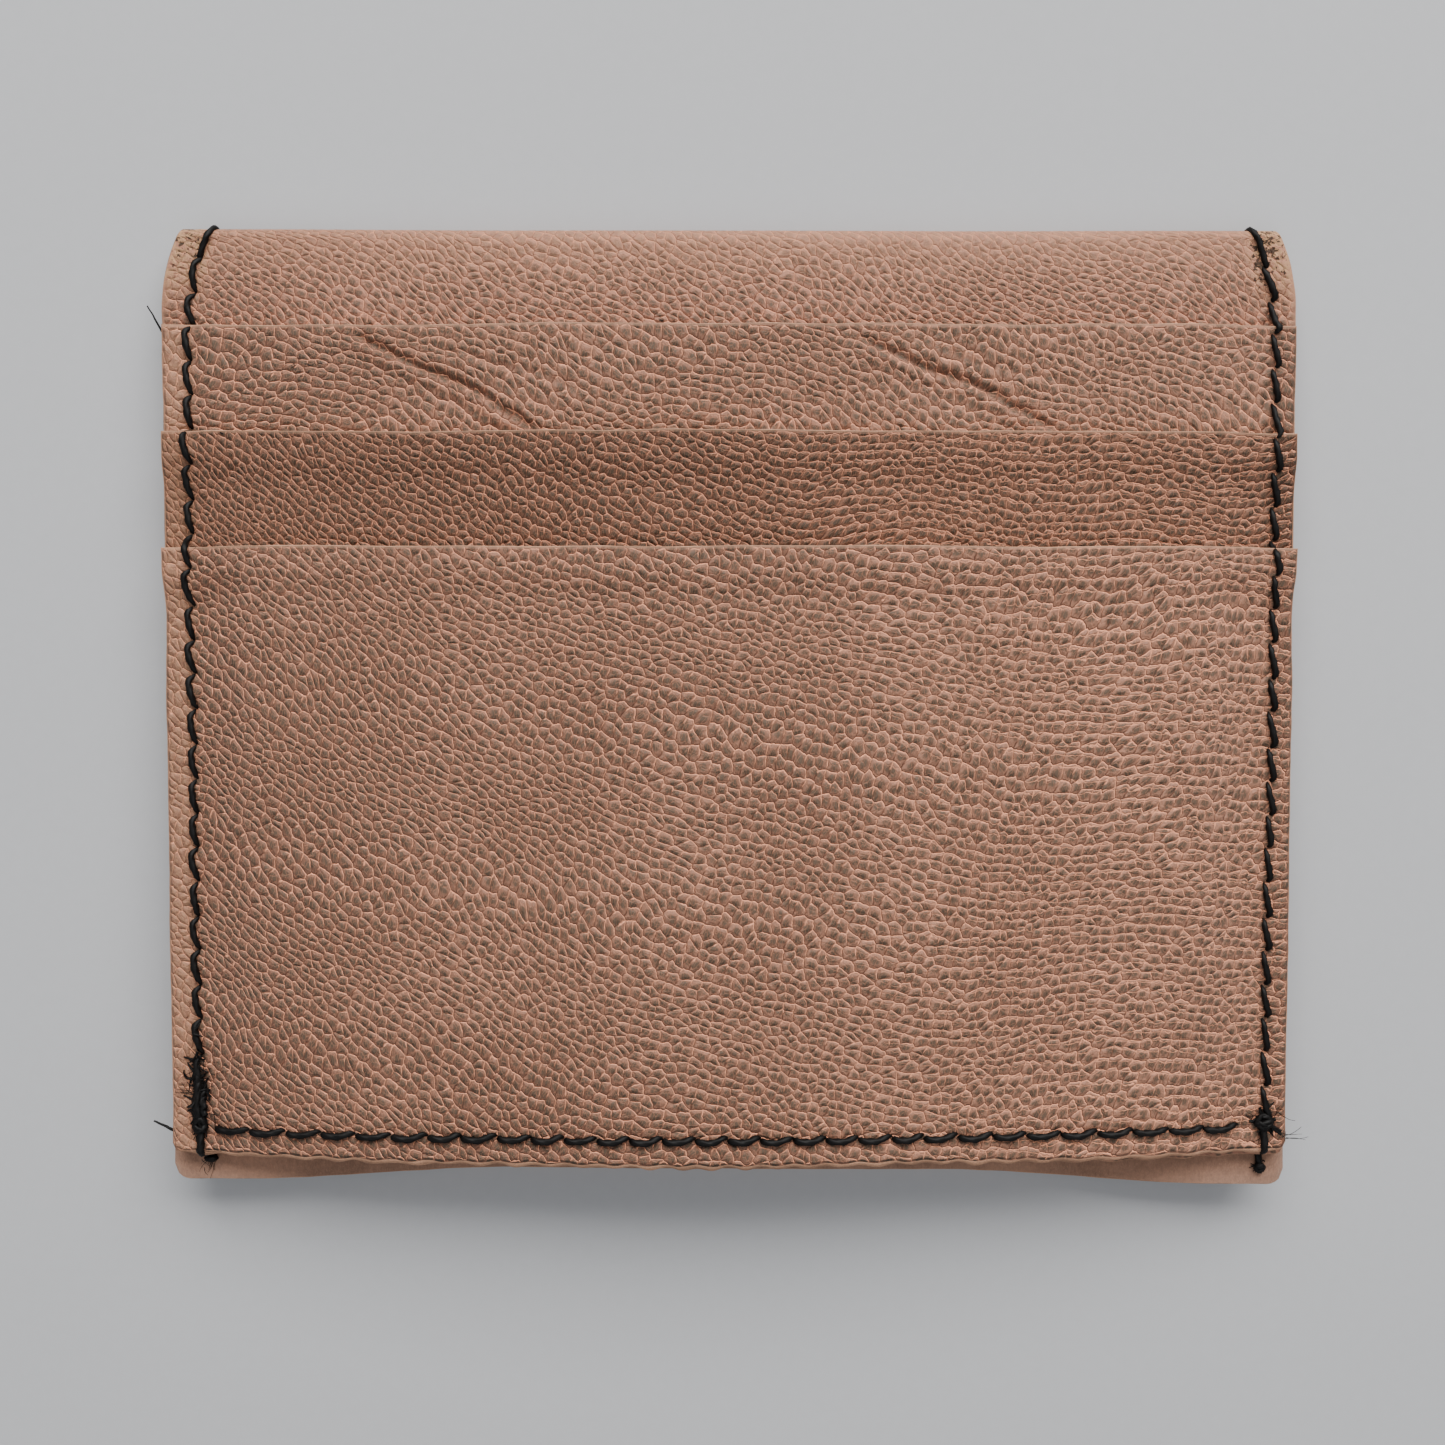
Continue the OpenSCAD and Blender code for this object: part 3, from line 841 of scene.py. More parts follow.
def leather_grain_material(name, colour, crease_colour):
    """Goat grain: olive-brown scales, paler creases, painted highlight and shade on the edges of the scales
    and across the panels, and worn, stained and rubbed places.
    """
    material, chain, shader = new_material(name)
    olive = scaled(colour, 0.44, 0.60, 0.62)
    grain = grain_chain(chain)
    relief, tone_and_painted_shading, wear = chain.split(chain.read("marks"))
    soil, _, _ = chain.split(chain.read("stain"))
    hide = chain.read("hide")
    # Which way a point lies from its scale's centre, weighted towards the upper right where the key light
    # stands; it places the painted highlight and shade below.
    right, up, _ = chain.split(grain["from"])
    facing = chain.plus(up, chain.times(right, 0.45))

    cloud = chain.noise(hide, 0.055, 3.0, 0.6)
    mottle = chain.noise(hide, 0.9, 3.0, 0.65)
    tint, _, _ = chain.split(grain["tint"])
    level = chain.varied(chain.varied(chain.varied(tone_and_painted_shading, cloud, 0.55), mottle, 0.45), tint, 0.16)
    base = chain.blend(chain.ease(level, 0.0, 1.0), full(colour, 0.82), full(colour, 1.5))
    strong = chain.ease(relief, 0.0, 0.9)
    # Pinker skin between the scales shows where the finish has gathered, olive, on top of each one
    core = chain.plus(grain["reach"], chain.times(chain.noise(hide, 3.0, 2.0), 0.3))
    pigment = chain.times(chain.ease(core, 0.62, 0.36), chain.ease(mottle, 0.15, 0.45))
    pigment = chain.times(pigment, chain.ease(wear, 0.5, 0.0))
    base = chain.blend(chain.times(pigment, 0.95), base, full(olive))
    # Painted highlight: the pale crease colour is laid on the upper and right-hand edges of each scale, which
    # face the key light; the pale lines along the rows are the leather's own.
    light = chain.times(chain.ease(grain["edge"], 0.01, 0.12, 1.0, 0.0), chain.ease(facing, 0.0, 0.28))
    light = chain.math("MAXIMUM", light, chain.times(grain["line"], 0.8))
    light = chain.times(light, strong)
    base = chain.blend(chain.times(light, 0.95), base, full(crease_colour, 1.08))
    thin = chain.times(chain.less(1.0, grain["wrinkle"]), strong)
    base = chain.blend(chain.times(thin, 0.24), base, full(crease_colour, 0.75))
    # Painted shade: a darker brown on the lower and left-hand edges of each scale, which face away from the
    # key light.
    dark = chain.times(chain.ease(grain["edge"], 0.0, 0.11, 1.0, 0.0), chain.ease(facing, 0.02, -0.28))
    dark = chain.times(dark, strong)
    base = chain.blend(chain.times(dark, 0.9), base, full(scaled(colour, 0.42, 0.30, 0.25)))
    # Rubbed edges and corners
    rub = chain.times(wear, chain.ease(chain.noise(hide, 2.6, 4.0, 0.7), 0.35, 0.62))
    base = chain.blend(rub, base, full(scaled(crease_colour, 0.53, 0.73, 0.70)))
    # Ingrained specks
    speck = chain.noise(hide, 2.1, 4.0, 0.72)
    limit = chain.math("MULTIPLY_ADD", soil, -0.13, 0.79)
    spot = chain.ease(chain.less(speck, limit), 0.0, 0.02)
    base = chain.blend(chain.times(spot, 0.9), base, (0.020, 0.012, 0.008, 1.0))
    chain.put(shader.inputs["Base Color"], base)
    rough = chain.math("MULTIPLY_ADD", grain["crease"], 0.14, 0.54)
    rough = chain.varied(rough, mottle, 0.2)
    rough = chain.plus(rough, chain.times(wear, 0.12), clamp=True)
    chain.put(shader.inputs["Roughness"], rough)
    shader.inputs["Specular IOR Level"].default_value = 0.26
    shader.inputs["Sheen Weight"].default_value = 0.04
    height = chain.times(grain["height"], strong)
    pores = chain.times(chain.noise(hide, 7.0, 3.0, 0.7), 0.16)
    bump(chain, shader, chain.plus(height, pores), 0.00027)
    return material


def flesh_material(name, colour):
    """Suede: a short matt nap with lighter and darker strokes."""
    material, chain, shader = new_material(name)
    hide = chain.read("hide")
    cloud = chain.noise(hide, 0.12, 4.0, 0.6)
    nap = chain.noise(chain.vector("MULTIPLY", hide, (3.0, 1.6, 1.0)), 1.0, 4.0, 0.75)
    fibre = chain.noise(chain.vector("MULTIPLY", hide, (9.0, 4.0, 1.0)), 1.0, 2.0, 0.6)
    level = chain.plus(chain.times(cloud, 0.5), chain.times(nap, 0.5))
    base = chain.blend(chain.ease(level, 0.3, 0.7), full(colour, 0.72), full(colour, 1.3))
    base = chain.blend(chain.times(chain.ease(fibre, 0.5, 0.75), 0.3), base, full(colour, 1.8))
    chain.put(shader.inputs["Base Color"], base)
    chain.put(shader.inputs["Roughness"], chain.math("MULTIPLY_ADD", nap, 0.15, 0.82))
    shader.inputs["Specular IOR Level"].default_value = 0.2
    shader.inputs["Sheen Weight"].default_value = 0.25
    shader.inputs["Sheen Roughness"].default_value = 0.6
    bump(chain, shader, chain.plus(nap, chain.times(fibre, 0.5)), 0.00009, 0.8)
    return material


def edge_material(name, colour):
    """Raw cut edge: pale fibres packed in layers, darkened here and there by handling."""
    material, chain, shader = new_material(name)
    coordinate = chain.add("ShaderNodeTexCoord").outputs["Object"]
    fine = chain.noise(coordinate, 5200.0, 3.0, 0.7)
    patch = chain.noise(coordinate, 260.0, 3.0, 0.6)
    base = chain.blend(chain.ease(patch, 0.3, 0.7), full(colour, 0.62), full(colour, 1.12))
    base = chain.blend(chain.times(chain.ease(fine, 0.42, 0.66), 0.45), base, full(colour, 0.55))
    chain.put(shader.inputs["Base Color"], base)
    chain.put(shader.inputs["Roughness"], chain.math("MULTIPLY_ADD", fine, 0.2, 0.68))
    shader.inputs["Specular IOR Level"].default_value = 0.3
    bump(chain, shader, fine, 0.00008, 0.8)
    return material


def thread_material(name, colour, shine):
    """Waxed black thread: fine filaments, a dull wax sheen, and paler flecks painted in as highlights on the
    filaments.
    """
    material, chain, shader = new_material(name)
    coordinate = chain.add("ShaderNodeTexCoord").outputs["Object"]
    fine = chain.noise(coordinate, 9000.0, 3.0, 0.7)
    patch = chain.noise(coordinate, 700.0, 3.0, 0.6)
    base = chain.blend(chain.ease(patch, 0.35, 0.7), full(colour, 0.7), full(colour, 2.2))
    # Painted highlight: paler flecks where the fine filaments catch the light.
    base = chain.blend(chain.times(chain.ease(fine, 0.6, 0.8), 0.3), base, full((0.008, 0.007, 0.006)))
    chain.put(shader.inputs["Base Color"], base)
    chain.put(shader.inputs["Roughness"], chain.math("MULTIPLY_ADD", patch, 0.3, shine))
    shader.inputs["IOR"].default_value = 1.3
    bump(chain, shader, fine, 0.00002, 0.6)
    return material


def material(name):
    """A finish by name, made once."""
    if name in bpy.data.materials:
        return bpy.data.materials[name]
    leather, thread = bpy.context.scene.card_holder_leather, bpy.context.scene.card_holder_thread
    crease, deep_crease = leather.crease_colour, [c * 0.8 for c in leather.crease_colour]
    return {
        "grain_folded_body": lambda: leather_grain_material(name, leather.body_colour, crease),
        "grain_light_panel": lambda: leather_grain_material(name, leather.pocket_colour, crease),
        "grain_upper_panel": lambda: leather_grain_material(name, leather.pocket_colour, crease),
        "grain_dark_panel": lambda: leather_grain_material(name, leather.band_colour, deep_crease),
        "flesh_side": lambda: flesh_material(name, leather.flesh_colour),
        "cut_edge": lambda: edge_material(name, leather.edge_colour),
        "black_waxed_thread": lambda: thread_material(name, thread.colour, 0.40),
        "black_fine_thread": lambda: thread_material(name, thread.colour, 0.5),
    }[name]()


# ---------------------------------------------------------------- geometry node trees


def new_tree(name, inputs):
    tree = bpy.data.node_groups.new(name, "GeometryNodeTree")
    tree.interface.new_socket("Geometry", in_out="INPUT", socket_type="NodeSocketGeometry")
    for label, kind, default in inputs:
        socket = tree.interface.new_socket(label, in_out="INPUT", socket_type=kind)
        if default is not None:
            socket.default_value = default
    tree.interface.new_socket("Geometry", in_out="OUTPUT", socket_type="NodeSocketGeometry")
    chain = Chain(tree)
    return tree, chain, chain.add("NodeGroupInput"), chain.add("NodeGroupOutput")


def leather_tree():
    """Raises the grain out of a sheet and gives its three sides their finishes."""
    tree, chain, given, result = new_tree("leather_relief", (
        ("Grain Depth", "NodeSocketFloat", 0.00005), ("Grain Side", "NodeSocketMaterial", None),
        ("Flesh Side", "NodeSocketMaterial", None), ("Cut Edge", "NodeSocketMaterial", None)))
    grain = grain_chain(chain)
    relief, _, _ = chain.split(chain.read("marks"))
    height = chain.times(chain.less(grain["height"], 0.75), relief)
    height = chain.times(height, given.outputs["Grain Depth"])
    normal = chain.add("GeometryNodeInputNormal").outputs[0]
    move = chain.after(given.outputs["Geometry"], "GeometryNodeSetPosition")
    chain.put(move.inputs["Offset"], chain.vector("SCALE", normal, height))
    flow = chain.after(move.outputs[0], "GeometryNodeRealizeInstances").outputs[0]
    side = chain.add("GeometryNodeInputNamedAttribute", data_type="INT")
    side.inputs["Name"].default_value = "side"
    for number, label in enumerate(("Grain Side", "Flesh Side", "Cut Edge")):
        same = chain.add("FunctionNodeCompare", data_type="INT", operation="EQUAL")
        chain.put(same.inputs[2], side.outputs["Attribute"])
        same.inputs[3].default_value = number
        paint = chain.after(flow, "GeometryNodeSetMaterial")
        chain.put(paint.inputs["Selection"], same.outputs[0])
        chain.put(paint.inputs["Material"], given.outputs[label])
        flow = paint.outputs[0]
    chain.put(result.inputs[0], flow)
    return tree


def thread_tree():
    """Lays twisted thread along every open line of a mesh; its "thick" attribute is the radius."""
    tree, chain, given, result = new_tree("laid_thread", (
        ("Point Spacing", "NodeSocketFloat", 0.0003), ("Sides", "NodeSocketInt", 9),
        ("Twist Length", "NodeSocketFloat", 0.0011), ("Strand Depth", "NodeSocketFloat", 0.14),
        ("Material", "NodeSocketMaterial", None)))
    curve = chain.after(given.outputs["Geometry"], "GeometryNodeMeshToCurve")
    kind = chain.after(curve.outputs[0], "GeometryNodeCurveSplineType", spline_type="CATMULL_ROM")
    spaced = chain.after(kind.outputs[0], "GeometryNodeResampleCurve", mode="LENGTH")
    chain.put(spaced.inputs["Length"], given.outputs["Point Spacing"])
    reached = chain.add("GeometryNodeSplineParameter").outputs["Length"]
    turns = chain.math("DIVIDE", reached, given.outputs["Twist Length"])
    tilt = chain.after(spaced.outputs[0], "GeometryNodeSetCurveTilt")
    chain.put(tilt.inputs["Tilt"], chain.times(turns, 2 * math.pi / 3))
    circle = chain.add("GeometryNodeCurvePrimitiveCircle")
    chain.put(circle.inputs["Resolution"], given.outputs["Sides"])
    circle.inputs["Radius"].default_value = 1.0
    # Three strands show as lobes
    where = chain.add("GeometryNodeInputPosition").outputs[0]
    x, y, _ = chain.split(where)
    lobe = chain.math("COSINE", chain.times(chain.math("ARCTAN2", y, x), 3.0))
    swell = chain.math("MULTIPLY_ADD", lobe, given.outputs["Strand Depth"], 1.0)
    lobed = chain.after(circle.outputs[0], "GeometryNodeSetPosition")
    chain.put(lobed.inputs["Position"], chain.vector("SCALE", where, swell))
    thick = chain.add("GeometryNodeInputNamedAttribute", data_type="FLOAT")
    thick.inputs["Name"].default_value = "thick"
    tube = chain.after(tilt.outputs[0], "GeometryNodeCurveToMesh")
    chain.put(tube.inputs["Profile Curve"], lobed.outputs[0])
    chain.put(tube.inputs["Scale"], thick.outputs["Attribute"])
    tube.inputs["Fill Caps"].default_value = True
    smooth = chain.after(tube.outputs[0], "GeometryNodeSetShadeSmooth")
    real = chain.after(smooth.outputs[0], "GeometryNodeRealizeInstances")
    paint = chain.after(real.outputs[0], "GeometryNodeSetMaterial")
    chain.put(paint.inputs["Material"], given.outputs["Material"])
    chain.put(result.inputs[0], paint.outputs[0])
    return tree


def tree_named(name, make):
    return bpy.data.node_groups[name] if name in bpy.data.node_groups else make()


def grown(name, mesh, tree, values):
    """Runs a tree over a mesh and returns the finished plain object."""
    seed = bpy.data.objects.new(name + "_seed", mesh)
    bpy.context.scene.collection.objects.link(seed)
    modifier = seed.modifiers.new("build", "NODES")
    modifier.node_group = tree
    for item in tree.interface.items_tree:
        if item.item_type == "SOCKET" and item.in_out == "INPUT" and item.name in values:
            modifier[item.identifier] = values[item.name]
    made = bpy.data.meshes.new_from_object(seed.evaluated_get(bpy.context.evaluated_depsgraph_get()))
    seed.modifiers.remove(modifier)
    bpy.data.objects.remove(seed)
    piece = bpy.data.objects.new(name, made)
    made.name = name
    bpy.context.scene.collection.objects.link(piece)
    if not len(made.polygons):
        raise RuntimeError(f"{name}: the node tree made no faces")
    return piece


def finish_piece(piece, nodes):
    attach(piece, "root")
    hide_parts(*nodes)


def leather_piece(name, mesh, grain):
    leather = bpy.context.scene.card_holder_leather
    return grown(name, mesh, tree_named("leather_relief", leather_tree), {
        "Grain Depth": leather.grain_depth, "Grain Side": material(grain),
        "Flesh Side": material("flesh_side"), "Cut Edge": material("cut_edge")})


# ---------------------------------------------------------------- thread


def line_mesh(name, lines):
    """Open lines as loose edges, each with its thickness: [(points in millimetres, radii)]."""
    points = np.concatenate([np.asarray(p, float) for p, _ in lines])
    thick = np.concatenate([np.broadcast_to(r, len(p)) for p, r in lines])
    edges, start = [], 0
    for p, _ in lines:
        edges += [(start + k, start + k + 1) for k in range(len(p) - 1)]
        start += len(p)
    mesh = bpy.data.meshes.new(name)
    mesh.from_pydata((points * MM).tolist(), edges, [])
    attribute = mesh.attributes.new("thick", "FLOAT", "POINT")
    attribute.data.foreach_set("value", (thick * MM).astype(np.float32))
    return mesh


def thread_piece(name, groups, finish):
    """One piece from groups of (lines, how they are laid)."""
    parts = []
    for number, (lines, (spacing, sides, twist, depth)) in enumerate(groups):
        if lines:
            values = {"Point Spacing": spacing * MM, "Sides": sides, "Twist Length": twist * MM,
                      "Strand Depth": depth, "Material": material(finish)}
            tree = tree_named("laid_thread", thread_tree)
            parts.append(grown(f"{name}_{number}", line_mesh(name, lines), tree, values))
    if len(parts) > 1:
        with bpy.context.temp_override(active_object=parts[0], selected_editable_objects=parts):
            bpy.ops.object.join()
    parts[0].name = parts[0].data.name = name
    return parts[0]


def on_front(holder, x, y, above):
    """Points on the front at places x, y, that far above the leather."""
    x, y = np.asarray(x, float), np.asarray(y, float)
    return holder.top_z(x / holder.half_w(np.minimum(y, holder.height)), y) + above


def taut(z):
    """Thread bridges the hollows between its high points."""
    return np.maximum(z, np.linspace(z[0], z[-1], len(z)))


def sewn(holder, x, y, z, rise, sink):
    """A stitch along x, y, z: its inner points stand off by rise and its two ends sink into the holes."""
    z[1:-1] += holder.thread_r * np.array(rise)
    z[[0, -1]] -= sink
    return stack(x, y - holder.mid_y, z)


def side_stitch(holder, side, top, low, rng):
    """A stitch on the front, from the hole above to the hole below: it comes up at one side of the
    line, crosses it at a slant and goes down at the other."""
    t = np.array([0.0, 0.07, 0.2, 0.42, 0.66, 0.84, 0.95, 1.0])
    if side < 0:
        off = np.array([0.24, 0.04, -0.25, -0.20, -0.05, 0.12, 0.24, 0.26])
        size = np.array([0.45, 0.7, 1.0, 1.12, 1.1, 0.92, 0.62, 0.42])
    else:
        off = np.array([-0.18, -0.2, -0.16, -0.06, 0.12, 0.27, 0.16, -0.14])
        size = np.array([0.4, 0.62, 0.9, 1.03, 1.12, 1.12, 0.8, 0.45])
    off = off * rng.uniform(0.8, 1.25) + rng.normal(0, 0.02, len(t))
    y = top + (low - top) * t
    x = holder.seam_x(side, y) + off
    z = on_front(holder, x, y, 0.0)
    z[1:-1] = taut(z[1:-1])
    return (sewn(holder, x, y, z, (0.2, 0.75, 0.92, 0.88, 0.62, 0.0), HOLE_DEPTH),
            size * holder.thread_r * rng.uniform(0.94, 1.05))


def back_stitch(holder, side, top, low, rng):
    """The same stitch on the outside of the back."""
    t = np.array([0.0, 0.08, 0.25, 0.5, 0.75, 0.92, 1.0])
    off = np.array([0.05, -0.02, -0.1, -0.03, 0.06, 0.1, 0.05]) * side
    y = top + (low - top) * t
    x = holder.seam_x(side, y) + off + rng.normal(0, 0.02, len(t))
    u = x / holder.half_w(y)
    z = holder.back_z(u, y) - holder.body_t + holder.press(x, y) * ease((y - 8) / 4)
    return (sewn(holder, x, y, z, (-0.2, -0.6, -0.7, -0.6, -0.2), -HOLE_DEPTH),
            holder.thread_r * np.array([0.6, 0.85, 1.0, 1.05, 1.0, 0.85, 0.6]))


def fold_loop(holder, side, front_y, back_y):
    """Thread from the top hole of the front, over the fold, to the top hole of the back."""
    hollow, turn_y, turn_z = (float(value) for value in holder.fold(side * holder.seam_u))
    r = holder.thread_r
    reach = hollow + holder.body_t + 0.3 * r
    points = []
    x0 = float(holder.seam_x(side, np.array(front_y)))
    points.append((x0 + 0.1 * side, front_y, float(on_front(holder, x0, front_y, -HOLE_DEPTH))))
    points.append((x0 + 0.05 * side, front_y + 0.12, float(on_front(holder, x0, front_y + 0.12, 0.25 * r))))
    for k, degrees in enumerate(range(90, -91, -20)):
        a = math.radians(degrees)
        y = turn_y + reach * math.cos(a)
        x = float(holder.seam_x(side, np.array(min(y, holder.height))))
        x -= side * 0.12 * math.sin(k / 9 * math.pi)
        points.append((x, y, turn_z + reach * math.sin(a)))
    x1 = float(holder.seam_x(side, np.array(back_y)))
    low = float(holder.back_z(x1 / holder.half_w(back_y), np.array(back_y))) - holder.body_t
    points.append((x1, back_y + 0.12, low - 0.25 * r))
    points.append((x1, back_y, low + HOLE_DEPTH))
    points = np.array(points)
    points[:, 1] -= holder.mid_y
    radii = np.full(len(points), r)
    radii[[0, -1]] = 0.6 * r
    return points, radii


def curl(rng, start, heading, length, steps, wander, thickness, lift=0.0, floor=None):
    """A loose thread end or fibre that wanders off in a direction."""
    at = np.array(start, float)
    way = np.array(heading, float)
    way /= np.linalg.norm(way)
    points, bend = [at.copy()], rng.normal(0, wander, 3)
    for _ in range(steps):
        bend = 0.6 * bend + rng.normal(0, wander, 3)
        way = way + bend * (0.5, 0.5, 0.25) + (0, 0, lift / steps)
        way /= np.linalg.norm(way)
        at = at + way * length / steps
        if floor is not None:
            at[2] = max(at[2], floor(at[0], at[1]))
        points.append(at.copy())
    radii = thickness * np.linspace(1, 0.5, len(points))
    return np.array(points), radii


def knot(rng, centre, size, thickness, turns):
    """A tight knot: one strand wound over itself."""
    t = np.linspace(0, 2 * math.pi * turns, int(turns * 14))
    tip, swing = rng.uniform(0, 2 * math.pi, 2)
    wobble = 1 + 0.12 * np.sin(3.3 * t + swing)
    a = np.stack([np.cos(t), np.sin(t) * np.cos(0.37 * t + tip), np.sin(t) * np.sin(0.37 * t + tip)], 1)
    points = a * np.array(size) * wobble[:, None] + np.array(centre)
    radii = np.full(len(points), thickness)
    radii[[0, -1]] *= 0.5
    return points, radii


def fibres(rng, centre, count, length, thickness, spread, floor, heading=None):
    """Short hairs that stand out round a place, or lean one way."""
    lines = []
    for _ in range(count):
        turn = rng.uniform(0, 2 * math.pi)
        way = np.array([math.cos(turn), math.sin(turn), rng.uniform(-0.1, 0.5)])
        if heading is not None:
            way = np.array(heading, float) + 0.55 * way
        start = np.array(centre) + rng.normal(0, 1, 3) * spread
        lines.append(curl(rng, start, way, length * rng.uniform(0.4, 1.3), 7, 0.16, thickness, -0.5, floor))
    return lines


def over_edge(holder, x, above, below, offs, radii):
    """Thread from the front, over its lower edge, onto the strip of the back below it."""
    edge = holder.front_edge
    xs = x + np.array(offs)
    ys = np.array([*above, edge + 0.12, edge - 0.3, *below])
    zs = on_front(holder, xs, ys, 0.8 * holder.thread_r)
    top, strip = zs[len(above)], zs[len(above) + 2]
    zs[len(above) + 1] = strip + 0.62 * (top - strip)
    return stack(xs, ys - holder.mid_y, zs), radii


def outer_seam(name, nodes, thread, fuzz):
    """The waxed thread of a seam with its fuzz, as one piece."""
    groups = ((thread, WAXED_LAY), (fuzz, FUZZ_LAY))
    finish_piece(thread_piece(name, groups, "black_waxed_thread"), nodes)


def side_seam(holder, side, name, nodes):
    rng = np.random.default_rng(200 + side)
    holes = holder.left_holes if side < 0 else holder.right_holes
    r = holder.thread_r
    thread = [side_stitch(holder, side, a, b, rng) for a, b in zip(holes[:-1], holes[1:])]
    thread += [back_stitch(holder, side, a, b, rng) for a, b in zip(holes[:-1], holes[1:])]
    thread.append(fold_loop(holder, side, holes[0], holes[0] - 0.2))
    fuzz = []

    def local(x, y, above):
        return (x, y - holder.mid_y, float(on_front(holder, x, y, above)))

    def floor(x, y):
        yy = y + holder.mid_y
        if abs(x) > holder.half_w(yy) or not 0 < yy < holder.height:
            return -1e9
        return float(on_front(holder, x, yy, 0.02))

    low = holes[-1]
    x = float(holder.seam_x(side, np.array(low)))
    if side < 0:
        # Back-stitching thickens the last few stitches, then one stitch crosses onto the back's strip
        for k in range(5):
            y0, y1 = 11.9 - 0.9 * k, low - 0.5 + 0.3 * k
            ys = np.linspace(y0, y1, 7)
            xs = holder.seam_x(side, ys) + 0.05 + rng.uniform(-0.2, 0.2, 7) + 0.17 * (k - 2)
            zs = taut(on_front(holder, xs, ys, 0.0)) + r * (0.7 + 0.4 * (k % 3))
            zs[0] -= 0.5
            thread.append((stack(xs, ys - holder.mid_y, zs), r * np.array([0.7, 1, 1.1, 1.1, 1.1, 1.1, 1])))
        radii = r * np.array([1, 1.3, 1.35, 1.3, 1.3, 1.2, 1])
        thread.append(over_edge(holder, x, (low + 0.6, low - 0.3, low - 1.1), (2.75, 2.45),
                                (0.05, 0.0, 0.06, 0.1, 0.14, 0.24, 0.5), radii))
        thread.append(knot(rng, local(x + 0.45, 2.3, 1.1 * r), (0.42, 0.3, 0.26), 0.75 * r, 4.2))
        thread.append(knot(rng, local(x + 0.05, low - 0.2, 1.3 * r), (0.45, 0.7, 0.3), 0.8 * r, 5.2))
        fuzz += fibres(rng, local(x, low + 2.6, r), 60, 1.7, 0.04, (0.42, 2.2, 0.12), floor)
        fuzz += fibres(rng, local(x - 0.1, low + 3.2, r), 46, 1.0, 0.13, (0.3, 1.7, 0.15), floor)
        fuzz += fibres(rng, local(x, low, r), 14, 0.8, 0.12, (0.3, 0.3, 0.1), floor)
        fuzz += fibres(rng, local(x + 0.4, 2.4, r), 9, 1.6, 0.03, (0.2, 0.2, 0.1), floor, (-0.5, -1, 0))
        start = (-holder.half_w(4.6) + 0.35, 4.65 - holder.mid_y, float(on_front(holder, -48.2, 4.65, -1.4)))
        thread.append(curl(rng, start, (-1, 0.32, 0.05), 2.5, 7, 0.07, 0.62 * r))
        start = (-holder.half_w(75.2) + 0.3, 75.2 - holder.mid_y, float(on_front(holder, -49.2, 75.2, -1.3)))
        thread.append(curl(rng, start, (-0.75, 0.9, 0.1), 3.1, 8, 0.13, 0.42 * r))
        fuzz.append(curl(rng, local(-46.4, 66.9, 0.04), (1, -0.1, 0), 2.4, 7, 0.09, 0.1, 0.0, floor))
    else:
        # A star-shaped knot at the corner, then two stitches onto the back's strip
        y = low - 0.15
        thread.append(knot(rng, local(x - 0.1, y, 1.25 * r), (0.62, 0.6, 0.34), 0.85 * r, 6.3))
        for angle, length in ((112, 1.5), (60, 1.1), (178, 1.5), (14, 1.2), (-40, 2.1), (-32, 1.9)):
            way = (math.cos(math.radians(angle)), math.sin(math.radians(angle)), -0.12)
            thread.append(curl(rng, local(x, y, 1.1 * r), way, length, 5, 0.05, 0.95 * r, -0.6, floor))
        radii = r * np.array([1, 1.3, 1.3, 1.2, 1.2, 1.1, 0.8])
        thread.append(over_edge(holder, x, (low, low - 0.6, low - 1.1), (2.8, 2.5),
                                (-0.05, -0.1, -0.08, -0.04, 0.0, 0.02, 0.05), radii))
        ys = np.array([2.9, 2.6, 2.0, 1.5])
        xs = x + np.array([0.0, -0.05, 0.08, 0.16])
        zs = on_front(holder, xs, ys, 0.7 * r)
        zs[0] -= 0.3
        thread.append((stack(xs, ys - holder.mid_y, zs), r * np.array([0.7, 1.05, 1.15, 1.0])))
        thread.append(knot(rng, local(x + 0.16, 1.2, r), (0.36, 0.34, 0.26), 0.78 * r, 4.1))
        fuzz += fibres(rng, local(x, y, r), 34, 1.6, 0.035, (0.5, 0.5, 0.1), floor)
        fuzz += fibres(rng, local(x - 0.1, y, r), 24, 1.0, 0.13, (0.35, 0.4, 0.12), floor)
        fuzz += fibres(rng, local(x, 1.3, r), 10, 0.7, 0.07, (0.25, 0.3, 0.05), floor)
        fuzz += fibres(rng, local(x + 1.6, y - 1.3, 0.3), 5, 1.8, 0.035, (0.15, 0.15, 0.05), floor,
                       (1.2, 0.2, 0.1))
    for _ in range(10):
        y = float(rng.uniform(12, 80))
        at = local(float(holder.seam_x(side, np.array(y))), y, r)
        fuzz += fibres(rng, at, 1, 0.9, 0.022, (0.15, 0.3, 0.05), floor)
    outer_seam(name, nodes, thread, fuzz)


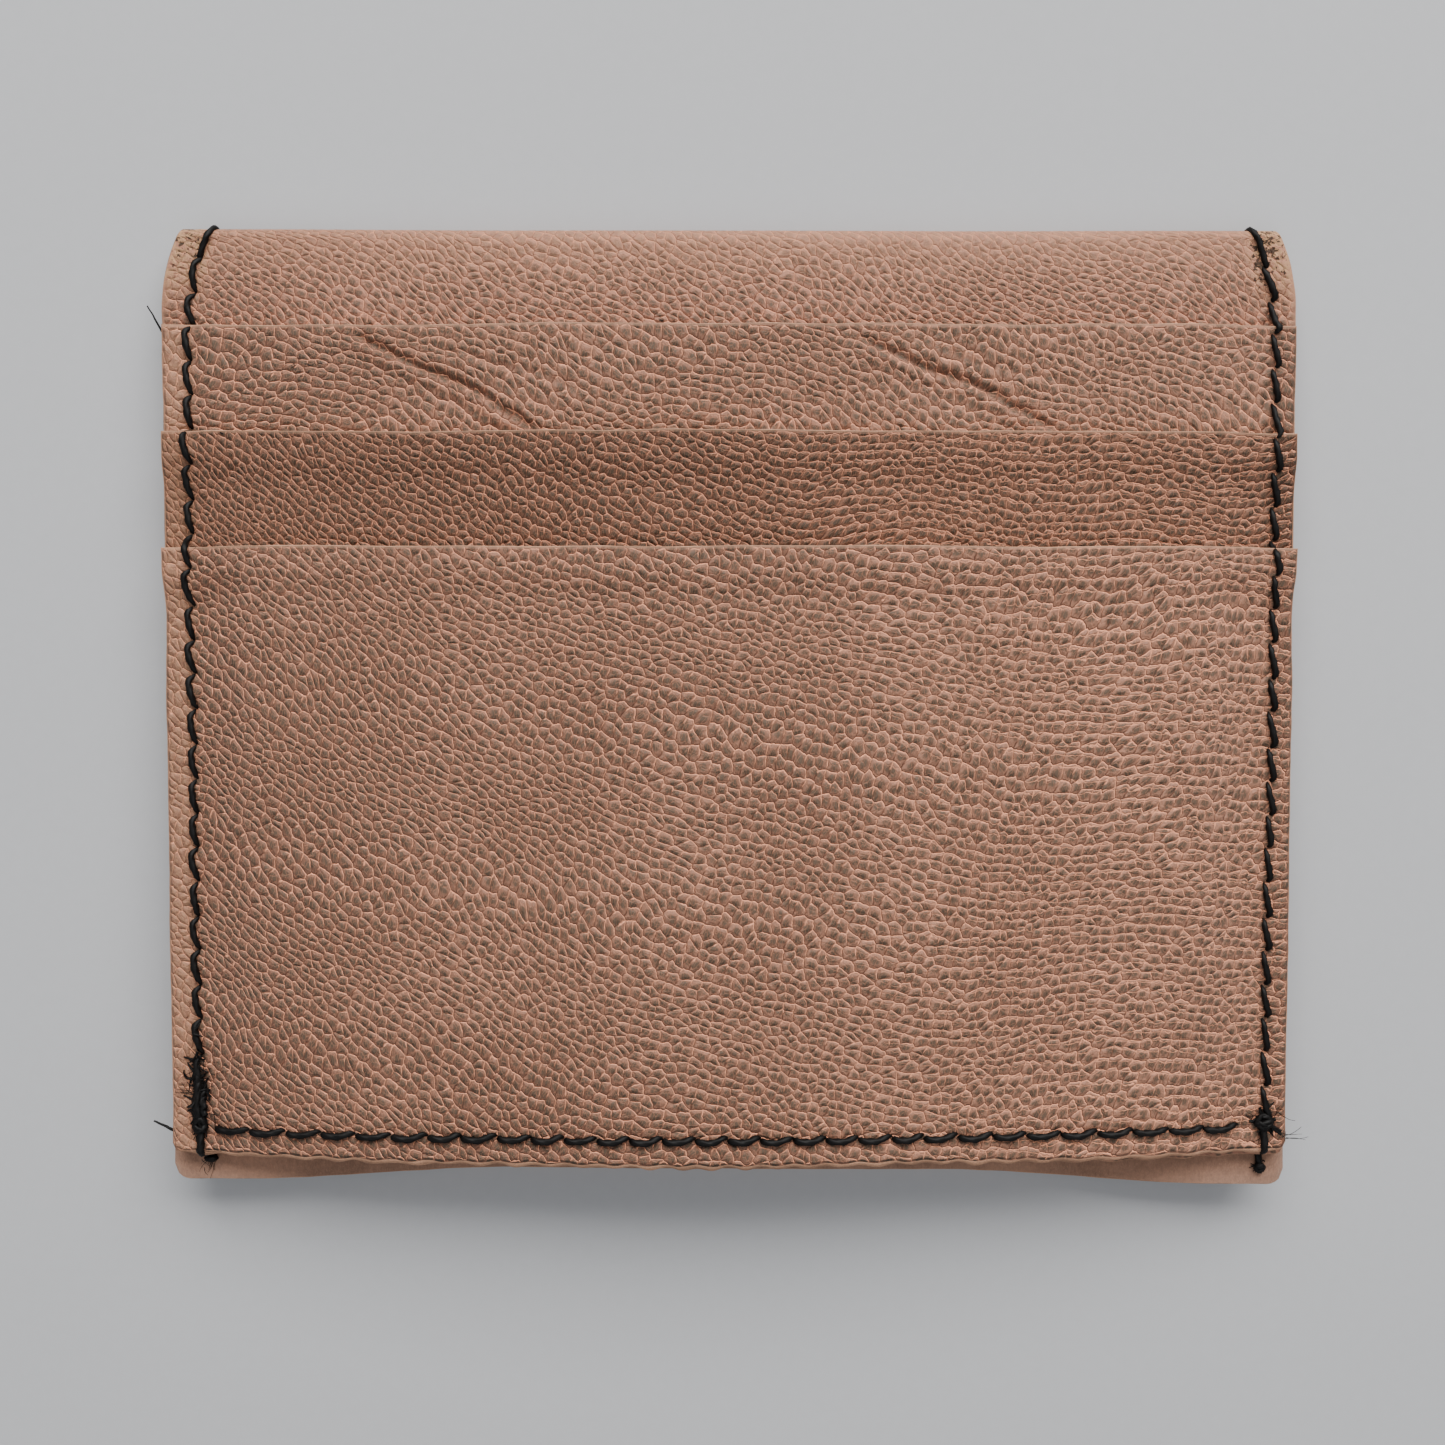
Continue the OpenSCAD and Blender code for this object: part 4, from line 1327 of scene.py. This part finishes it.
def bottom_seam(holder, name, nodes):
    rng = np.random.default_rng(230)
    r = holder.thread_r
    y0 = holder.seam_y
    thread, fuzz = [], []
    for a, b in zip(holder.bottom_holes[:-1], holder.bottom_holes[1:]):
        t = np.array([0.0, 0.06, 0.2, 0.45, 0.68, 0.84, 0.94, 1.0])
        off = np.array([-0.08, -0.09, -0.13, -0.15, 0.01, 0.19, 0.14, -0.06]) * rng.uniform(0.8, 1.3)
        size = np.array([0.6, 1.0, 1.15, 1.12, 1.05, 0.95, 0.6, 0.38])
        x, y = a + (b - a) * t, y0 + off + rng.normal(0, 0.015, 8)
        z = on_front(holder, x, y, 0.0)
        z[1:-1] = taut(z[1:-1])
        thread.append((sewn(holder, x, y, z, (0.5, 0.82, 0.92, 0.88, 0.62, 0.0), HOLE_DEPTH),
                       size * r * rng.uniform(0.95, 1.05)))
        # The run on the flesh side, inside the compartment
        x, y = a + (b - a) * t, y0 + np.zeros(8)
        z = holder.front_z(x / holder.half_w(y), y)
        thread.append((sewn(holder, x, y, z, (-0.2, -0.6, -0.7, -0.7, -0.6, -0.2), -0.4),
                       r * np.array([0.6, 0.9, 1, 1, 1, 1, 0.9, 0.6])))

    def floor(x, y):
        return float(on_front(holder, x, max(y + holder.mid_y, holder.front_edge), 0.02))

    for k in range(26):
        x = float(rng.uniform(-21, -3) if k < 16 else rng.uniform(-44, 44))
        fuzz += fibres(rng, (x, y0 - holder.mid_y, float(on_front(holder, x, y0, r))), 1, 1.0, 0.02,
                       (0.2, 0.1, 0.03), floor, (0, -0.6, 0.1))
    outer_seam(name, nodes, thread, fuzz)


def hidden_seam(holder, n, count, thickness, name, nodes):
    """Fine thread across a slot's lower end, on the stem and on the folded panel's flesh side."""
    rng = np.random.default_rng(240 + n)
    r = thickness / 2
    y = holder.panels[n][2] + 1.3
    half = 0.78 * holder.width / 2
    holes = np.linspace(-half, half, count + 1)
    lines = []
    for a, b in zip(holes[:-1], holes[1:]):
        for sign in (1, -1):
            t = np.array([0.0, 0.1, 0.3, 0.5, 0.7, 0.9, 1.0])
            x, yy = a + (b - a) * t, y + rng.normal(0, 0.02, 7)
            u = x / holder.half_w(yy)
            z = holder.panel_z(n, u, yy) + holder.thickness(n, yy) if sign > 0 else holder.front_z(u, yy)
            z = z + sign * r * np.array([-2.5, -0.4, -0.2, -0.1, -0.2, -0.4, -2.5])
            lines.append((stack(x, yy - holder.mid_y, z), r * np.array([0.7, 0.9, 1, 1, 1, 0.9, 0.7])))
    finish_piece(thread_piece(name, ((lines, FINE_LAY),), "black_fine_thread"), nodes)


# ---------------------------------------------------------------- operators


def holder_now(context):
    return Holder(context.scene.card_holder_leather, context.scene.card_holder_thread)


class CARDHOLDER_OT_folded_body(bpy.types.Operator):
    """Make the panel that folds over the top and forms the back and the inner front"""

    bl_idname = "card_holder.folded_body"
    bl_label = "Folded Panel"

    def execute(self, context):
        holder = holder_now(context)
        piece = leather_piece("leather_folded_body", build_folded_body(holder, "leather_folded_body"),
                              "grain_folded_body")
        finish_piece(piece, ["folded_body"])
        return {"FINISHED"}


class CARDHOLDER_OT_card_panels(bpy.types.Operator):
    """Make the two slot panels and the front pocket panel"""

    bl_idname = "card_holder.card_panels"
    bl_label = "Card Panels"

    def execute(self, context):
        holder = holder_now(context)
        for n, (name, node, grain, flat, area) in enumerate((
            ("leather_upper_slot", "upper_slot_panel", "grain_upper_panel", (0.0998, 0.0485), 0.0044),
            ("leather_middle_slot", "middle_slot_panel", "grain_dark_panel", (0.0996, 0.0485), 0.0044),
            ("leather_front_pocket", "front_pocket_panel", "grain_light_panel", (0.0998, 0.0536), None),
        )):
            piece = leather_piece(name, build_card_panel(holder, n, name), grain)
            finish_piece(piece, [node])
        return {"FINISHED"}


class CARDHOLDER_OT_outer_seams(bpy.types.Operator):
    """Sew the two sides and the lower edge with black waxed thread"""

    bl_idname = "card_holder.outer_seams"
    bl_label = "Outer Seams"

    def execute(self, context):
        holder = holder_now(context)
        side_seam(holder, -1, "thread_left_seam", ["left_seam_thread"])
        side_seam(holder, 1, "thread_right_seam", ["right_seam_thread"])
        bottom_seam(holder, "thread_bottom_seam", ["bottom_seam_thread"])
        return {"FINISHED"}


class CARDHOLDER_OT_hidden_seams(bpy.types.Operator):
    """Sew the lower ends of the two slots with fine thread"""

    bl_idname = "card_holder.hidden_seams"
    bl_label = "Hidden Seams"

    def execute(self, context):
        holder = holder_now(context)
        thread = context.scene.card_holder_thread
        for n, (name, node) in enumerate((("thread_upper_slot_seam", "upper_slot_seam_thread"),
                                          ("thread_middle_slot_seam", "middle_slot_seam_thread"))):
            hidden_seam(holder, n, thread.hidden_stitches, thread.fine_thickness / MM, name, [node])
        return {"FINISHED"}


class CARDHOLDER_OT_stage(bpy.types.Operator):
    """Set up the pale floor, the soft light and the camera"""

    bl_idname = "card_holder.stage"
    bl_label = "Stage"

    def execute(self, context):
        stage = context.scene.card_holder_stage
        half = stage.floor_size / 2
        mesh = bpy.data.meshes.new("floor")
        corners = [(-half, -half, 0), (half, -half, 0), (half, half, 0), (-half, half, 0)]
        mesh.from_pydata(corners, [], [(0, 1, 2, 3)])
        floor = bpy.data.objects.new("floor", mesh)
        context.scene.collection.objects.link(floor)
        matt, chain, shader = new_material("floor_paper")
        grain = chain.noise(chain.add("ShaderNodeTexCoord").outputs["Object"], 900.0, 3.0, 0.6)
        chain.put(shader.inputs["Base Color"], chain.blend(grain, full(stage.floor_colour, 0.97),
                                                            full(stage.floor_colour, 1.03)))
        shader.inputs["Roughness"].default_value = 0.85
        mesh.materials.append(matt)

        def lamp(name, place, size, power, colour):
            """A soft light aimed at the middle of the table."""
            light = bpy.data.lights.new(name, "AREA")
            light.shape, light.size, light.size_y = "RECTANGLE", size[0], size[1]
            light.energy, light.color = power, colour
            thing = bpy.data.objects.new(name, light)
            thing.location = place
            thing.rotation_euler = (-Vector(place)).to_track_quat("-Z", "Y").to_euler()
            context.scene.collection.objects.link(thing)

        power = stage.key_power
        lamp("key_light", (0.12, 0.66, 0.52), (1.1, 0.5), power, (1.0, 0.985, 0.965))
        lamp("fill_light", (-0.1, -0.5, 0.7), (0.8, 0.6), power * 0.10, (0.96, 0.98, 1.0))
        world = bpy.data.worlds.new("studio")
        world.use_nodes = True
        background = world.node_tree.nodes["Background"]
        background.inputs["Color"].default_value = (0.93, 0.96, 1.0, 1.0)
        background.inputs["Strength"].default_value = stage.world_strength
        context.scene.world = world

        camera = bpy.data.cameras.new("camera")
        camera.sensor_width, camera.lens = CAMERA_SENSOR, CAMERA_LENS
        camera.clip_start, camera.clip_end = 0.005, 20
        viewer = bpy.data.objects.new("camera", camera)
        viewer.location = CAMERA_PLACE
        viewer.rotation_euler = [math.radians(degrees) for degrees in CAMERA_TILT]
        context.scene.collection.objects.link(viewer)
        context.scene.camera = viewer
        return {"FINISHED"}


class CARDHOLDER_PT_sidebar(bpy.types.Panel):
    bl_idname = "CARDHOLDER_PT_sidebar"
    bl_label = "Card Holder"
    bl_space_type = "VIEW_3D"
    bl_region_type = "UI"
    bl_category = "Card Holder"

    def draw(self, context):
        for step in STEPS:
            self.layout.operator(step.bl_idname)
        for group in (context.scene.card_holder_leather, context.scene.card_holder_thread,
                      context.scene.card_holder_stage):
            box = self.layout.box()
            for name in group.bl_rna.properties.keys():
                if name not in ("rna_type", "name"):
                    box.prop(group, name)


STEPS = (CARDHOLDER_OT_folded_body, CARDHOLDER_OT_card_panels, CARDHOLDER_OT_outer_seams,
         CARDHOLDER_OT_hidden_seams, CARDHOLDER_OT_stage)
GROUPS = {"card_holder_leather": CARDHOLDER_PG_leather, "card_holder_thread": CARDHOLDER_PG_thread,
          "card_holder_stage": CARDHOLDER_PG_stage}


def register():
    for group in GROUPS.values():
        bpy.utils.register_class(group)
    for step in STEPS:
        bpy.utils.register_class(step)
    bpy.utils.register_class(CARDHOLDER_PT_sidebar)
    for name, group in GROUPS.items():
        setattr(bpy.types.Scene, name, PointerProperty(type=group))


def unregister():
    for name in GROUPS:
        delattr(bpy.types.Scene, name)
    bpy.utils.unregister_class(CARDHOLDER_PT_sidebar)
    for kind in reversed(STEPS + tuple(GROUPS.values())):
        bpy.utils.unregister_class(kind)


def main():
    register()
    bpy.ops.card_holder.folded_body()
    bpy.ops.card_holder.card_panels()
    bpy.ops.card_holder.outer_seams()
    bpy.ops.card_holder.hidden_seams()
    bpy.ops.card_holder.stage()


if __name__ == "__main__":
    main()
